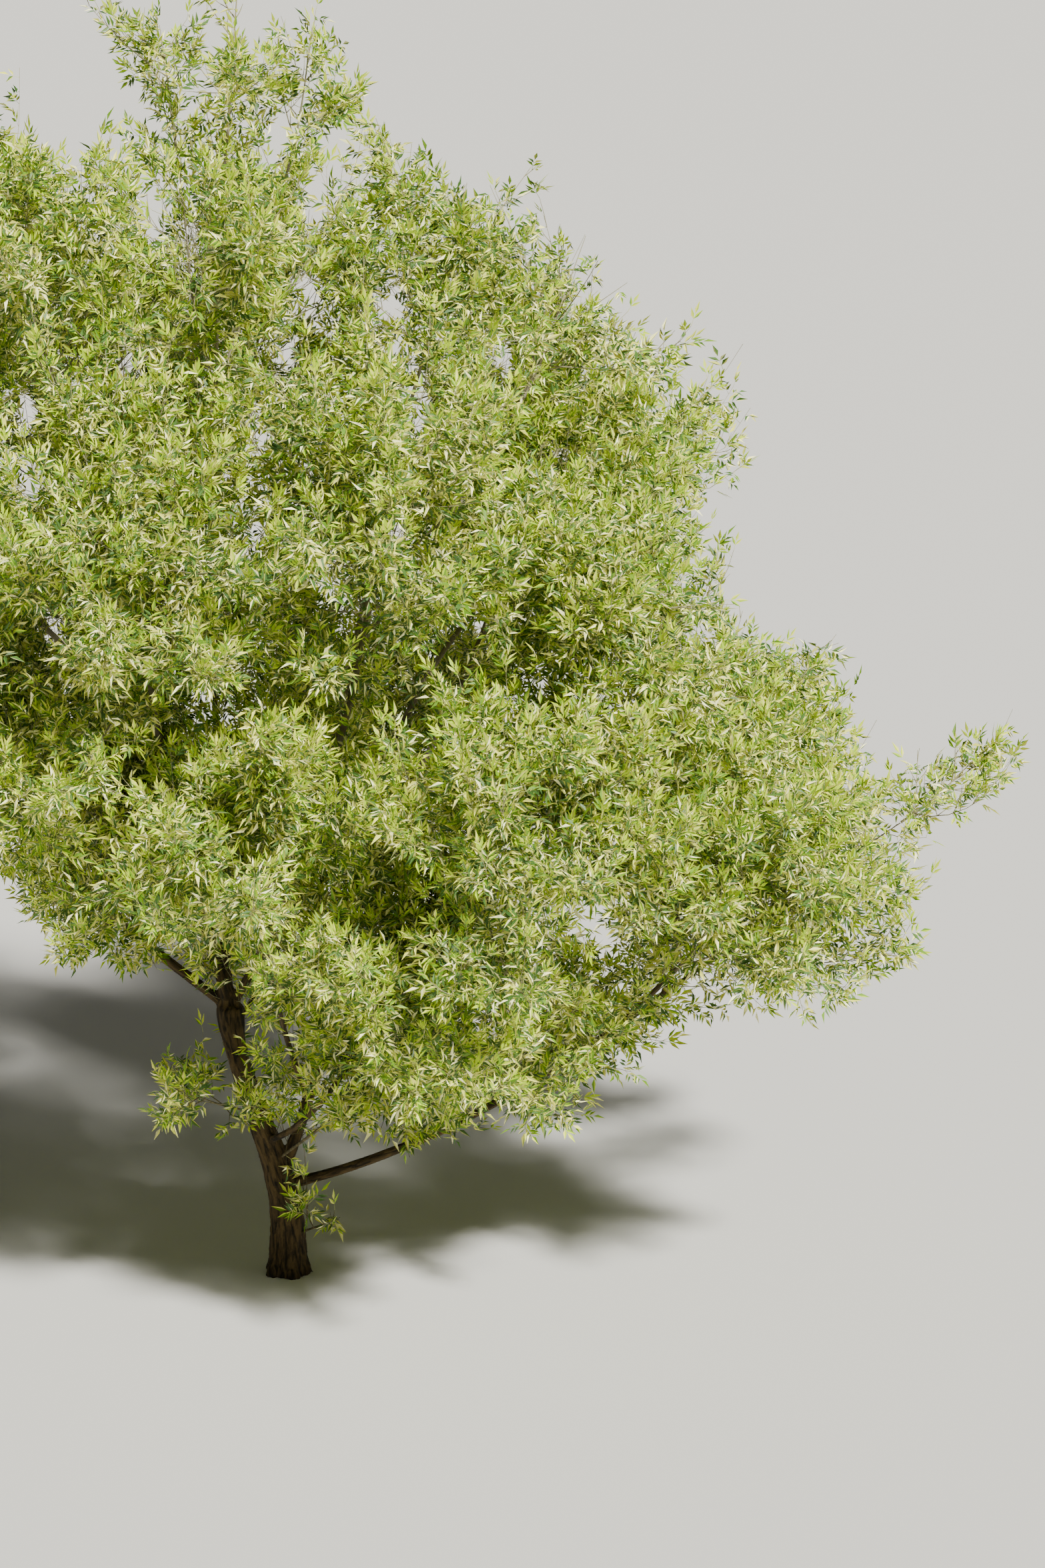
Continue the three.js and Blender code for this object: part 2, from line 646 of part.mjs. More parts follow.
function buildTree() {
  const bark = new THREE.MeshStandardMaterial({ color: COLOURS.bark, roughness: 0.95 });
  const youngBark = new THREE.MeshStandardMaterial({ color: COLOURS.youngBark, roughness: 0.85 });
  const leaf = new THREE.MeshStandardMaterial({ color: COLOURS.leaf, roughness: 0.6 });
  const tree = new THREE.Group();
  findNeighbours();

  const axes = new Map([["trunk", trunkLine()]]);
  const carriers = MASSES.filter((mass) => mass.rise !== undefined);
  for (const mass of carriers) axes.set(mass.name, limbAxis(mass, axes));

  addMesh(tree, "trunk", trunkSolid(), bark);
  const cutters = [trunkSolid(GAP)];
  const stoutFirst = [...carriers].sort((a, b) => rootRadius(b) - rootRadius(a));
  for (const mass of stoutFirst) {
    const axis = axes.get(mass.name);
    addMesh(tree, `bough_${mass.name}`, cutClear(limbSolid(axis), cutters), youngBark);
    cutters.push(limbSolid(axis, GAP));
  }

  MASSES.forEach((mass, index) => {
    const { start, direction, neck } = stemRoot(mass, axes.get(mass.name));
    const grown = growMass(mass, start, direction, index, [...axes.values()], neck);
    addMesh(tree, `foliage_${mass.name}`, cutClear(foliageSolid(grown), cutters), leaf);
  });
  return tree;
}

export default buildTree();
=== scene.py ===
"""Dresses a small variegated box elder: bark with relief, twigs and leaves grown on from its packed limbs.

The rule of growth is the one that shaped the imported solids, in millimetres, carried on to finer twigs and
to leaves of real size. Meshes are made in metres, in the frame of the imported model.
"""

from __future__ import annotations

import json
import logging
import math
from collections.abc import Iterable
from dataclasses import dataclass, field
from enum import Enum

import bpy
import numpy as np
from bpy.types import Collection, Material, Node, NodesModifier, NodeSocket, NodeTree, Object
from mathutils import Matrix, Quaternion, Vector, noise

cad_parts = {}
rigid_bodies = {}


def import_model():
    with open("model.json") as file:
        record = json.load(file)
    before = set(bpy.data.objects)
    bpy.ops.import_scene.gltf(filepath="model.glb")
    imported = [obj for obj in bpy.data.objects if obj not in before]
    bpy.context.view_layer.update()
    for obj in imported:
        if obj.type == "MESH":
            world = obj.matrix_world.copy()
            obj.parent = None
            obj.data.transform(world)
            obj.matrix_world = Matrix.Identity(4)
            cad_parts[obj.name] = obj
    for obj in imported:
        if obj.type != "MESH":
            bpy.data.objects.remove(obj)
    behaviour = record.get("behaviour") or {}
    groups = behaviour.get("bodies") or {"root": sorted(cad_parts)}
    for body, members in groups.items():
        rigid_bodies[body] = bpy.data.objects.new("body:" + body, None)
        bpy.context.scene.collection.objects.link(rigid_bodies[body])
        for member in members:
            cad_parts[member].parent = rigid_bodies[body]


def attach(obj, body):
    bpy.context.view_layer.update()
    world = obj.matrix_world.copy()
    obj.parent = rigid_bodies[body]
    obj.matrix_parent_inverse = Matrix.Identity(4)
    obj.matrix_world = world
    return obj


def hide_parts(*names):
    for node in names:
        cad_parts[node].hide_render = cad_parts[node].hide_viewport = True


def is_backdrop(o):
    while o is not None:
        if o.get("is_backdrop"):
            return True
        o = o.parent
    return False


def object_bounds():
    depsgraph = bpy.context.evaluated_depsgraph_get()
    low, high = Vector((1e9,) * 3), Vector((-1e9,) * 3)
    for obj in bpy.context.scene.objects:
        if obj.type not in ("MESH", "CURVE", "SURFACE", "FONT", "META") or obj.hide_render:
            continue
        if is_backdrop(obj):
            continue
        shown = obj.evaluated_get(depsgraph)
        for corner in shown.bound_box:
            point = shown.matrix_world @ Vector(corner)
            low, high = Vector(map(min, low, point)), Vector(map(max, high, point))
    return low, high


Span = tuple[float, float]  # least and most, or what something has at its root and at its tip

LOG = logging.getLogger("box_elder")
MM = 0.001
UP = Vector((0, 0, 1))
WORD = 0xFFFFFFFF

# The space that each mass of foliage keeps to, in millimetres
STRETCH = 1.2  # how much taller it is than wide
CELL_GAP = 6  # between the spaces of neighbours
GROUND_CLEARANCE = 50
ROOM_STEP = 20  # in which the room ahead of a twig is measured

# Where a bough ends in its mass
ENTRY = 0.82  # share of the way from the middle to the rim
ENTRY_DEPTH = 60  # how deep in the space at least, in millimetres
ENTRY_STEP = 10

# The tree's seed, and from where the seeds of what the solids lack are counted
SEED = 4107
ROUND_SEEDS = 100
STEM_SEEDS = 1000
SHOOT_SEEDS = 2000
END_LEAF_DRAWS = 2  # numbers that the solids' stem takes for the leaf at its end

PATH_SHARES = (0, 0.25, 0.5, 0.75, 1)  # where the points of a bent twig lie on it


# Seeded numbers and directions


class Stream:
    """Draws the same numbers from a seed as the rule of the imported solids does."""

    def __init__(self, seed: int) -> None:
        """Starts at a seed.

        Args:
            seed: Any whole number under two to the power of 32.
        """
        self.state = seed & WORD

    def draw(self) -> float:
        """Returns the next number, from 0 to under 1."""
        self.state = (self.state + 0x6D2B79F5) & WORD
        t = self.state
        t = ((t ^ (t >> 15)) * (t | 1)) & WORD
        t ^= (t + (((t ^ (t >> 7)) * (t | 61)) & WORD)) & WORD
        return (t ^ (t >> 14)) / (WORD + 1)

    def between(self, low: float, high: float) -> float:
        """Returns the next number, from low to under high."""
        return low + (high - low) * self.draw()

    def either_way(self, most: float) -> float:
        """Returns the next number, from -most to under most."""
        return self.between(-most, most)

    def choose(self, options: tuple[int, ...]) -> int:
        """Returns one of some numbers, by the next number."""
        return options[int(self.draw() * len(options))]

    def vector(self) -> Vector:
        """Returns the next three numbers as a vector, each from -0.5 to under 0.5."""
        return Vector((self.draw() - 0.5, self.draw() - 0.5, self.draw() - 0.5))

    def skip(self, count: int) -> None:
        """Passes over some numbers."""
        for _ in range(count):
            self.draw()

    def branch(self) -> Stream:
        """Returns a stream of its own for a twig, seeded by the next number."""
        return Stream(int(self.draw() * WORD))


def child_seed(seed: int, index: int) -> int:
    """Returns the seed of one of a twig's children."""
    return (seed * 31 + 7919 * (index + 1)) & WORD


def lerp(low: float, high: float, share: float) -> float:
    """Returns the value at a share of the way from low to high."""
    return low + (high - low) * share


def clamp(value: float, low: float, high: float) -> float:
    """Returns a value kept between low and high."""
    return max(low, min(high, value))


def heading(start: Vector, goal: Vector, rise: float) -> Vector:
    """Gives a direction towards a goal seen from above, and at its own slope.

    Args:
        start: Where the direction starts.
        goal: What it heads for, seen from above.
        rise: Degrees above level.

    Returns:
        A unit vector.
    """
    azimuth = math.atan2(goal.y - start.y, goal.x - start.x)
    level = math.cos(math.radians(rise))
    return Vector((level * math.cos(azimuth), level * math.sin(azimuth), math.sin(math.radians(rise))))


def sideways(ahead: Vector, angle: float, roll: float) -> Vector:
    """Gives a side direction at an angle to a twig, turned round it by a roll.

    Args:
        ahead: The twig's own direction.
        angle: Between the two, in radians.
        roll: Round the twig, in radians.

    Returns:
        A unit vector.
    """
    nearly_upright = 0.9
    base = Vector((1, 0, 0)) if abs(ahead.z) > nearly_upright else UP
    side = base.cross(ahead).normalized()
    side.rotate(Quaternion(ahead, roll))
    return (ahead * math.cos(angle) + side * math.sin(angle)).normalized()


def point_on_path(points: list[Vector], share: float) -> tuple[Vector, Vector]:
    """Returns the point at a share of a path's length, and the path's direction there."""
    place = share * (len(points) - 1)
    k = min(int(place), len(points) - 2)
    return points[k].lerp(points[k + 1], place - k), (points[k + 1] - points[k]).normalized()


def path_length(points: list[Vector]) -> float:
    """Returns the length of a path."""
    return sum((b - a).length for a, b in zip(points, points[1:]))


def tapering(root: float, tip: float, count: int) -> list[float]:
    """Returns radii that go evenly from a twig's root to its tip."""
    return [lerp(root, tip, k / (count - 1)) for k in range(count)]


# The masses and their spaces


def scaled_distance_squared(p: Vector, q: Vector) -> float:
    """Returns a squared distance in which heights count for less, as masses are taller than wide."""
    return (p.x - q.x) ** 2 + (p.y - q.y) ** 2 + ((p.z - q.z) / STRETCH) ** 2


@dataclass
class Mass:
    """One mass of foliage and the place where its limb leaves another.

    Attributes:
        name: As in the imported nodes' names.
        carrier: The limb that it stands on.
        at: Where on that limb, as a share of its length.
        rise: Degrees above level at which its own bough sets out. None: it grows straight from the trunk.
        tip: Degrees above level at which its bough meets it.
        middle: The middle of its space, in millimetres.
        radius: The level radius of its space, in millimetres.
        neighbours: Masses whose spaces could meet this one's, each with its scaled distance.
    """

    name: str
    carrier: str
    at: float
    rise: float | None
    tip: float
    middle: Vector | tuple[float, float, float]
    radius: float
    neighbours: list[tuple[Mass, float]] = field(default_factory=list)

    def __post_init__(self) -> None:
        """Makes the middle a vector."""
        self.middle = Vector(self.middle)

    def find_neighbours(self, masses: Iterable[Mass]) -> None:
        """Lists the masses whose spaces could meet this one's."""
        for other in masses:
            spread = math.sqrt(scaled_distance_squared(self.middle, other.middle))
            if other is not self and spread < self.radius + other.radius:
                self.neighbours.append((other, spread))

    def depth_inside(self, point: Vector) -> float:
        """Returns how deep a point lies in this mass's space, under 0 where it is outside."""
        own = scaled_distance_squared(point, self.middle)
        depth = min(self.radius - math.sqrt(own), point.z - GROUND_CLEARANCE)
        for other, spread in self.neighbours:
            theirs = scaled_distance_squared(point, other.middle) - other.radius**2
            depth = min(depth, (theirs - own + self.radius**2) / (2 * spread) - CELL_GAP / 2)
        return depth

    def room_ahead(self, point: Vector, direction: Vector) -> float:
        """Returns how far a straight line runs from a point before it leaves the space."""
        far = 0
        while self.depth_inside(point + direction * (far + ROOM_STEP)) > 0:
            far += ROOM_STEP
        return far

    def rim_distance(self, direction: Vector) -> float:
        """Returns how far the rim is from the middle in one direction."""
        return self.radius / math.hypot(direction.x, direction.y, direction.z / STRETCH)


MASSES = [
    Mass("low_right", "trunk", 0.33, 14, 36, (3010, -190, 2370), 310),
    Mass("right", "trunk", 0.36, 66, 52, (1180, 240, 3520), 720),
    Mass("centre_right", "trunk", 1, 58, 74, (720, -260, 4600), 550),
    Mass("leader", "trunk", 1, 86, 82, (-480, 140, 5540), 330),
    Mass("centre_left", "trunk", 1, 76, 72, (-1120, -280, 4720), 640),
    Mass("left", "trunk", 1, 34, 44, (-2060, 260, 2920), 780),
    Mass("front", "trunk", 0.5, 22, 44, (600, -1220, 1800), 640),
    Mass("back", "trunk", 0.92, 10, 32, (300, 1500, 2060), 800),
    Mass("low_skirt", "low_right", 0.17, 34, 46, (1180, -420, 1310), 450),
    Mass("right_front", "low_right", 0.4, 34, 46, (2080, -760, 2020), 680),
    Mass("right_back", "low_right", 0.52, 40, 46, (2040, 960, 2110), 700),
    Mass("right_upper", "low_right", 0.6, 64, 76, (1960, -120, 2700), 540),
    Mass("middle_front", "right", 0.3, 20, 42, (1080, -1480, 2420), 760),
    Mass("middle_shoulder", "right", 0.55, 26, 48, (1400, -1050, 3240), 640),
    Mass("middle_back", "right", 0.55, 34, 54, (1180, 1300, 3500), 800),
    Mass("upper_front", "centre_right", 0.42, 32, 54, (480, -1200, 3700), 820),
    Mass("upper_right", "centre_right", 0.62, 50, 62, (1200, 180, 4320), 560),
    Mass("top", "leader", 0.8, 76, 84, (-170, -60, 5720), 380),
    Mass("top_right", "leader", 0.7, 62, 76, (150, -40, 5540), 310),
    Mass("crown_front", "leader", 0.52, 54, 66, (-220, -740, 4740), 500),
    Mass("crown_back", "leader", 0.5, 50, 62, (-150, 860, 4260), 680),
    Mass("left_front", "centre_left", 0.4, 22, 48, (-560, -1180, 3480), 840),
    Mass("left_shoulder", "centre_left", 0.5, 30, 52, (-1760, -260, 4020), 700),
    Mass("left_back", "centre_left", 0.4, 24, 48, (-960, 1240, 3740), 800),
    Mass("low_left_front", "left", 0.42, 32, 44, (-1260, -1120, 2760), 640),
    Mass("low_left_back", "left", 0.5, 10, 30, (-1280, 1300, 2520), 800),
    Mass("front_high", "front", 0.42, 48, 66, (-120, -1340, 2560), 640),
    Mass("inner", "centre_left", 0.16, 64, 32, (-680, -440, 2120), 590),
    Mass("trunk_tuft", "trunk", 0.6, None, 0, (-370, -390, 970), 270),
    Mass("foot_shoot", "trunk", 0.13, None, 0, (205, -110, 290), 190),
    Mass("trunk_skirt", "trunk", 0.42, None, 0, (520, -640, 1180), 410),
]


# Trunk and boughs


@dataclass
class Limb:
    """The axis of a trunk or bough, with its radii, in millimetres.

    Attributes:
        points: Along the axis.
        radii: At each point.
        sides: Corners of a ring.
        arrival: Its direction at its end.
    """

    points: list[Vector]
    radii: list[float]
    sides: int
    arrival: Vector

    def frames(self) -> Iterable[tuple[Vector, Vector, Vector]]:
        """Yields each point with two directions square to the axis, which turn as little as they can."""
        nearly_along = 0.95
        carried = Vector((1, 0, 0))
        last = len(self.points) - 1
        for k, point in enumerate(self.points):
            ahead = (self.points[min(k + 1, last)] - self.points[max(k - 1, 0)]).normalized()
            if abs(carried.dot(ahead)) > nearly_along:
                carried = Vector((0.1, 1, 0.1))
            carried = (carried - ahead * carried.dot(ahead)).normalized()
            yield point, carried, ahead.cross(carried)


@dataclass
class Trunk:
    """The leaning trunk with its root flare and the swelling at its fork.

    Attributes:
        height: Of the fork, in millimetres like all lengths here.
        lean: How far the fork stands to the left of the foot.
        lean_start: Height from which it leans.
        radius: At the foot without the flare.
        taper: How much thinner it gets for each unit of height.
        flare: How much thicker its roots make the foot.
        flare_height: Over which that falls off.
        flare_lobes: Roots that show.
        lobe_depth: How far they stand out, as a share.
        fork_swell: How much thicker it is at the fork.
        fork_spread: Over which that falls off.
        dome_height: Of its rounded top within the fork, as a share of the radius.
        dome_radius: Of that top, as a share too.
    """

    height: float = 1290
    lean: float = 250
    lean_start: float = 220
    radius: float = 88
    taper: float = 0.038
    flare: float = 20
    flare_height: float = 70
    flare_lobes: int = 5
    lobe_depth: float = 0.09
    fork_swell: float = 24
    fork_spread: float = 170
    dome_height: float = 0.45
    dome_radius: float = 0.55
    sides: int = 72
    ring_spacing: float = 12

    def point_at(self, share: float) -> Vector:
        """Returns a point of the axis at a share of the height."""
        z = share * self.height
        s = clamp((z - self.lean_start) / (self.height - self.lean_start), 0, 1)
        return Vector((-self.lean * s * s * (3 - 2 * s), 0, z))

    def radius_at(self, share: float) -> float:
        """Returns the radius at a share of the height."""
        z = share * self.height
        flare = self.flare * math.exp(-z / self.flare_height)
        swell = self.fork_swell * math.exp(-(((z - self.height) / self.fork_spread) ** 2))
        return self.radius - self.taper * z + flare + swell

    def limb(self) -> Limb:
        """Returns the trunk's axis up to the rounded top within its fork."""
        count = round(self.height / self.ring_spacing)
        shares = [k / count for k in range(count + 1)]
        points = [self.point_at(s) for s in shares]
        radii = [self.radius_at(s) for s in shares]
        points.append(self.point_at(1) + UP * self.dome_height * self.radius_at(1))
        radii.append(self.dome_radius * self.radius_at(1))
        return Limb(points, radii, self.sides, UP.copy())

    def lobes(self, angle: float, height: float) -> float:
        """Returns how much further out the root flare stands at an angle than its mean."""
        depth = self.lobe_depth * math.exp(-height / (2 * self.flare_height))
        return 1 + depth * math.cos(self.flare_lobes * angle)


@dataclass
class Boughs:
    """The boughs, each one tapering limb that ends where it enters its mass.

    Attributes:
        tip_share: Tip radius beside its mass's radius.
        joining: Power by which the radii of what a bough carries add up to its own.
        collar: How much thicker it is where it leaves its carrier, as a share.
        bow: How far its curve keeps to its first and last direction, as a share of its length.
        ring_spacing: Between rings, in millimetres.
        main_sides: Corners of a main bough's ring.
        side_sides: Corners of a side bough's ring.
        trunk: What the main boughs stand on.
        curves: The four points of each bough's curve, by its mass's name.
        limbs: The finished limbs, by their masses' names.
    """

    tip_share: float = 0.0185
    joining: float = 1.75
    collar: float = 0.22
    bow: float = 0.34
    ring_spacing: float = 14
    main_sides: int = 28
    side_sides: int = 16
    trunk: Trunk = field(default_factory=Trunk)
    curves: dict[str, list[Vector]] = field(default_factory=dict)
    limbs: dict[str, Limb] = field(default_factory=dict)

    def root_radius(self, mass: Mass) -> float:
        """Returns a bough's root radius without its collar, from what it carries."""
        carried = [self.root_radius(m) for m in MASSES if m.carrier == mass.name]
        total = sum(r**self.joining for r in [self.tip_share * mass.radius, *carried])
        return total ** (1 / self.joining)

    def point_at(self, name: str, share: float) -> Vector:
        """Returns the point at a share of a limb's curve."""
        if name == "trunk":
            return self.trunk.point_at(share)
        a, b, c, d = self.curves[name]
        rest = 1 - share
        return a * rest**3 + b * (3 * rest**2 * share) + c * (3 * rest * share**2) + d * share**3

    def add(self, mass: Mass) -> None:
        """Works out the limb that carries a mass.

        Args:
            mass: The mass.
        """
        start = self.point_at(mass.carrier, mass.at)
        arrival = heading(start, mass.middle, mass.tip)
        back = ENTRY * mass.rim_distance(arrival)
        while back > 0 and mass.depth_inside(mass.middle - arrival * back) < ENTRY_DEPTH:
            back -= ENTRY_STEP
        end = mass.middle - arrival * back
        length = (end - start).length
        departure = heading(start, mass.middle, mass.rise)
        reach = self.bow * length
        self.curves[mass.name] = [start, start + departure * reach, end - arrival * reach, end]
        count = round(length / self.ring_spacing)
        shares = [k / count for k in range(count + 1)]
        root = self.root_radius(mass)
        tip = self.tip_share * mass.radius
        radii = [lerp(root, tip, s) + self.collar * root * math.exp(-s * length / (2 * root)) for s in shares]
        sides = self.main_sides if mass.carrier == "trunk" else self.side_sides
        points = [self.point_at(mass.name, s) for s in shares]
        self.limbs[mass.name] = Limb(points, radii, sides, arrival)

    def build(self) -> None:
        """Works out every limb, each after the one that it stands on."""
        for mass in MASSES:
            if mass.rise is not None:
                self.add(mass)


# Twigs and leaves


@dataclass
class Twig:
    """A twig's path with its radii, in millimetres."""

    points: list[Vector]
    radii: list[float]


@dataclass
class LeafPlace:
    """Where one leaf stands: its root, its turn, its size and its kind's number."""

    root: Vector
    turn: Quaternion
    size: float
    kind: int


class Tone(Enum):
    """The colours of a leaf's parts, in the order of the leaf finishes."""

    GREY_GREEN = 0
    FRESH_GREEN = 1
    CREAM = 2
    WHITE = 3
    LIME = 4
    STALK = 5


class Pattern(Enum):
    """Tones of a leaflet's two faces, on the left and on the right of its rib."""

    EDGED = (Tone.GREY_GREEN, Tone.WHITE)
    DEEP = (Tone.GREY_GREEN, Tone.GREY_GREEN)
    FRESH = (Tone.FRESH_GREEN, Tone.CREAM)
    GREEN = (Tone.FRESH_GREEN, Tone.LIME)
    PALE = (Tone.CREAM, Tone.GREY_GREEN)
    WHITE = (Tone.WHITE, Tone.CREAM)
    SHOOT = (Tone.LIME, Tone.CREAM)
    LIME = (Tone.LIME, Tone.LIME)


@dataclass(frozen=True)
class LeafKind:
    """One kind of leaf, in millimetres.

    Attributes:
        patterns: One for each leaflet: the end one, then pairs from the stalk's root on.
        length: Of the end leaflet.
        half_width: Of a leaflet, as a share of its length.
        spread: Angle between the side leaflets and the stalk, in degrees.
        droop: How far a leaflet's tip hangs, as a share of its length.
        petiole: Bare part of the stalk, as a share of the end leaflet's length.
        pair_step: Between pairs of leaflets, as such a share.
        side_share: Length of the first pair, as such a share.
        side_loss: How much shorter each further pair is, as such a share.
        stalk_half_width: At its root, in millimetres.
        lift: How far the leaflets stand over the stalk, in millimetres.
        widest: Where a leaflet is widest, as a share of its length.
        fold: How far its edges bend down with its tip, as a share of its droop.
    """

    patterns: tuple[Pattern, ...]
    length: float
    half_width: float
    spread: float = 50
    droop: float = 0.16
    petiole: float = 0.5
    pair_step: float = 0.34
    side_share: float = 0.92
    side_loss: float = 0.1
    stalk_half_width: float = 1.4
    lift: float = 0.2
    widest: float = 0.38
    fold: float = 0.3


FIVE_EDGED = (Pattern.EDGED, Pattern.PALE, Pattern.PALE, Pattern.DEEP, Pattern.EDGED)
FIVE_MIXED = (Pattern.PALE, Pattern.WHITE, Pattern.EDGED, Pattern.FRESH, Pattern.DEEP)
FIVE_FRESH = (Pattern.FRESH, Pattern.FRESH, Pattern.GREEN, Pattern.EDGED, Pattern.FRESH)
FIVE_GREEN = (Pattern.GREEN, Pattern.DEEP, Pattern.FRESH, Pattern.DEEP, Pattern.GREEN)
FIVE_WHITE = (Pattern.WHITE, Pattern.PALE, Pattern.WHITE, Pattern.EDGED, Pattern.PALE)
THREE_WHITE = (Pattern.WHITE, Pattern.WHITE, Pattern.PALE)
THREE_SHOOT = (Pattern.SHOOT, Pattern.SHOOT, Pattern.GREEN)
THREE_LIME = (Pattern.LIME, Pattern.SHOOT, Pattern.LIME)
KINDS = [
    LeafKind(FIVE_EDGED, 68, 0.14),
    LeafKind(FIVE_MIXED, 64, 0.14, droop=0.24),
    LeafKind(FIVE_FRESH, 66, 0.14, spread=44),
    LeafKind(FIVE_GREEN, 64, 0.14, spread=54, droop=0.1),
    LeafKind(FIVE_WHITE, 66, 0.14, droop=0.26),
    LeafKind(THREE_WHITE, 70, 0.14, spread=58),
    LeafKind(THREE_SHOOT, 64, 0.14, spread=34, droop=0.04),
    LeafKind(THREE_LIME, 58, 0.135, spread=28, droop=0.02),
    LeafKind(FIVE_GREEN, 62, 0.145, spread=40, droop=0.2),
]


class Spray(Enum):
    """How the leaves of one spray are coloured: the kinds of leaf that it picks from."""

    EDGED = (0, 1, 0, 3, 2, 4)
    PALE = (4, 3, 5, 4, 1, 5)
    GREENER = (2, 8, 0, 2, 8, 3)
    BRIGHT = (2, 3, 6, 6, 2, 0)


# Each kind of spray, with the share of all sprays that it and those before it make up
SPRAY_SHARES = [(Spray.EDGED, 0.5), (Spray.PALE, 0.7), (Spray.GREENER, 0.82), (Spray.BRIGHT, 1.0)]
YOUNG_KINDS = (6, 7, 6, 2)


def pick_spray(stream: Stream) -> Spray:
    """Returns a spray's colouring: most have cream edges, some are paler or greener."""
    draw = stream.draw()
    return next(spray for spray, share in SPRAY_SHARES if draw < share)


@dataclass(frozen=True)
class View:
    """How the tree is seen in the photograph. Lengths in metres, places in the photograph's pixels.

    Attributes:
        elevation: How far the view looks down, in degrees.
        distance: From the tree.
        scale: Metres for each pixel at the trunk.
        image: The photograph's width and height.
        foot: Where the trunk's foot is in it.
    """

    elevation: float = 15.0
    distance: float = 26.0
    scale: float = 0.0031
    image: tuple[int, int] = (1568, 2352)
    foot: tuple[int, int] = (432, 1908)

    def ahead(self) -> Vector:
        """Returns the direction of the view."""
        rise = math.radians(self.elevation)
        return Vector((0, math.cos(rise), -math.sin(rise)))

    def upward(self) -> Vector:
        """Returns the direction that is up in the picture."""
        rise = math.radians(self.elevation)
        return Vector((0, math.sin(rise), math.cos(rise)))

    def centre(self) -> tuple[float, float]:
        """Returns the middle of the picture, to the right of the foot and over it."""
        across, down = self.image[0] / 2 - self.foot[0], self.foot[1] - self.image[1] / 2
        return across * self.scale, down * self.scale

    def place(self) -> Vector:
        """Returns where the camera stands."""
        x, height = self.centre()
        return Vector((x, 0, 0)) + self.upward() * height - self.ahead() * self.distance

    def seen_at(self, point: Vector) -> tuple[float, float]:
        """Returns where a point is seen, to the right of the foot and over it.

        Args:
            point: In metres.

        Returns:
            Metres to the right and up, at the trunk's distance.
        """
        offset = point - self.place()
        nearness = self.distance / offset.dot(self.ahead())
        x, height = self.centre()
        return x + offset.x * nearness, height + offset.dot(self.upward()) * nearness


VIEW = View()


@dataclass(frozen=True)
class Opening:
    """A place along the view that foliage keeps out of, in metres from the foot as it is seen."""

    x: float
    height: float
    half_width: float
    half_height: float

    def distance(self, x: float, height: float) -> float:
        """Returns how far a seen place is from the middle: under 1 inside."""
        return math.hypot((x - self.x) / self.half_width, (height - self.height) / self.half_height)


def open_places(*rows: tuple[float, ...]) -> list[Opening]:
    """Returns an opening for each row of its sizes."""
    return [Opening(*row) for row in rows]


# Gaps within the crown, which leaves keep out of
GAPS = open_places(
    (-0.6, 4.92, 0.1, 0.15),
    (0.12, 4.98, 0.12, 0.18),
    (0.1, 4.55, 0.09, 0.17),
    (0.0, 4.24, 0.09, 0.12),
    (-0.46, 4.82, 0.07, 0.27),
    (-0.07, 5.2, 0.06, 0.08),
    (-0.14, 3.97, 0.06, 0.12),
    (-0.74, 4.24, 0.06, 0.1),
    (-1.22, 4.0, 0.05, 0.12),
    (0.48, 4.5, 0.09, 0.14),
    (1.01, 4.25, 0.09, 0.1),
    (0.61, 4.0, 0.06, 0.12),
    (1.25, 3.82, 0.06, 0.1),
    (-0.16, 3.38, 0.05, 0.08),
    (0.51, 3.42, 0.05, 0.07),
    (0.12, 0.57, 0.2, 0.13),
    (1.9, 2.97, 0.1, 0.09),
    (-1.2, 3.68, 0.07, 0.11),
    (-1.08, 3.02, 0.08, 0.12),
)
# Places round the crown, which twigs and leaves keep out of
SURROUNDINGS = open_places(
    (-0.1, 6.4, 1.6, 0.58),
    (-1.06, 5.6, 0.26, 0.34),
    (0.54, 5.64, 0.17, 0.3),
    (0.96, 5.5, 0.44, 0.46),
    (1.8, 5.1, 0.73, 0.73),
    (2.46, 3.3, 0.5, 0.42),
    (2.96, 2.72, 0.3, 0.37),
    (3.34, 2.8, 0.25, 0.28),
    (3.3, 1.88, 0.28, 0.31),
    (-0.32, 1.22, 0.08, 0.16),
    (-0.62, 1.2, 0.24, 0.14),
    (-0.14, 0.55, 0.14, 0.1),
    (0.37, 0.33, 0.23, 0.15),
    (0.45, 0.47, 0.14, 0.1),
    (0.55, 0.25, 0.28, 0.2),
    (0.8, 0.43, 0.3, 0.17),
)


def clear_of(openings: list[Opening], point: Vector, size: float) -> bool:
    """Tells whether a point in millimetres is seen outside all openings, of a share of their usual size."""
    x, height = VIEW.seen_at(point * MM)
    return all(opening.distance(x, height) > size for opening in openings)


# Rules of growth: lengths in millimetres, and angles in degrees where they don't say radians


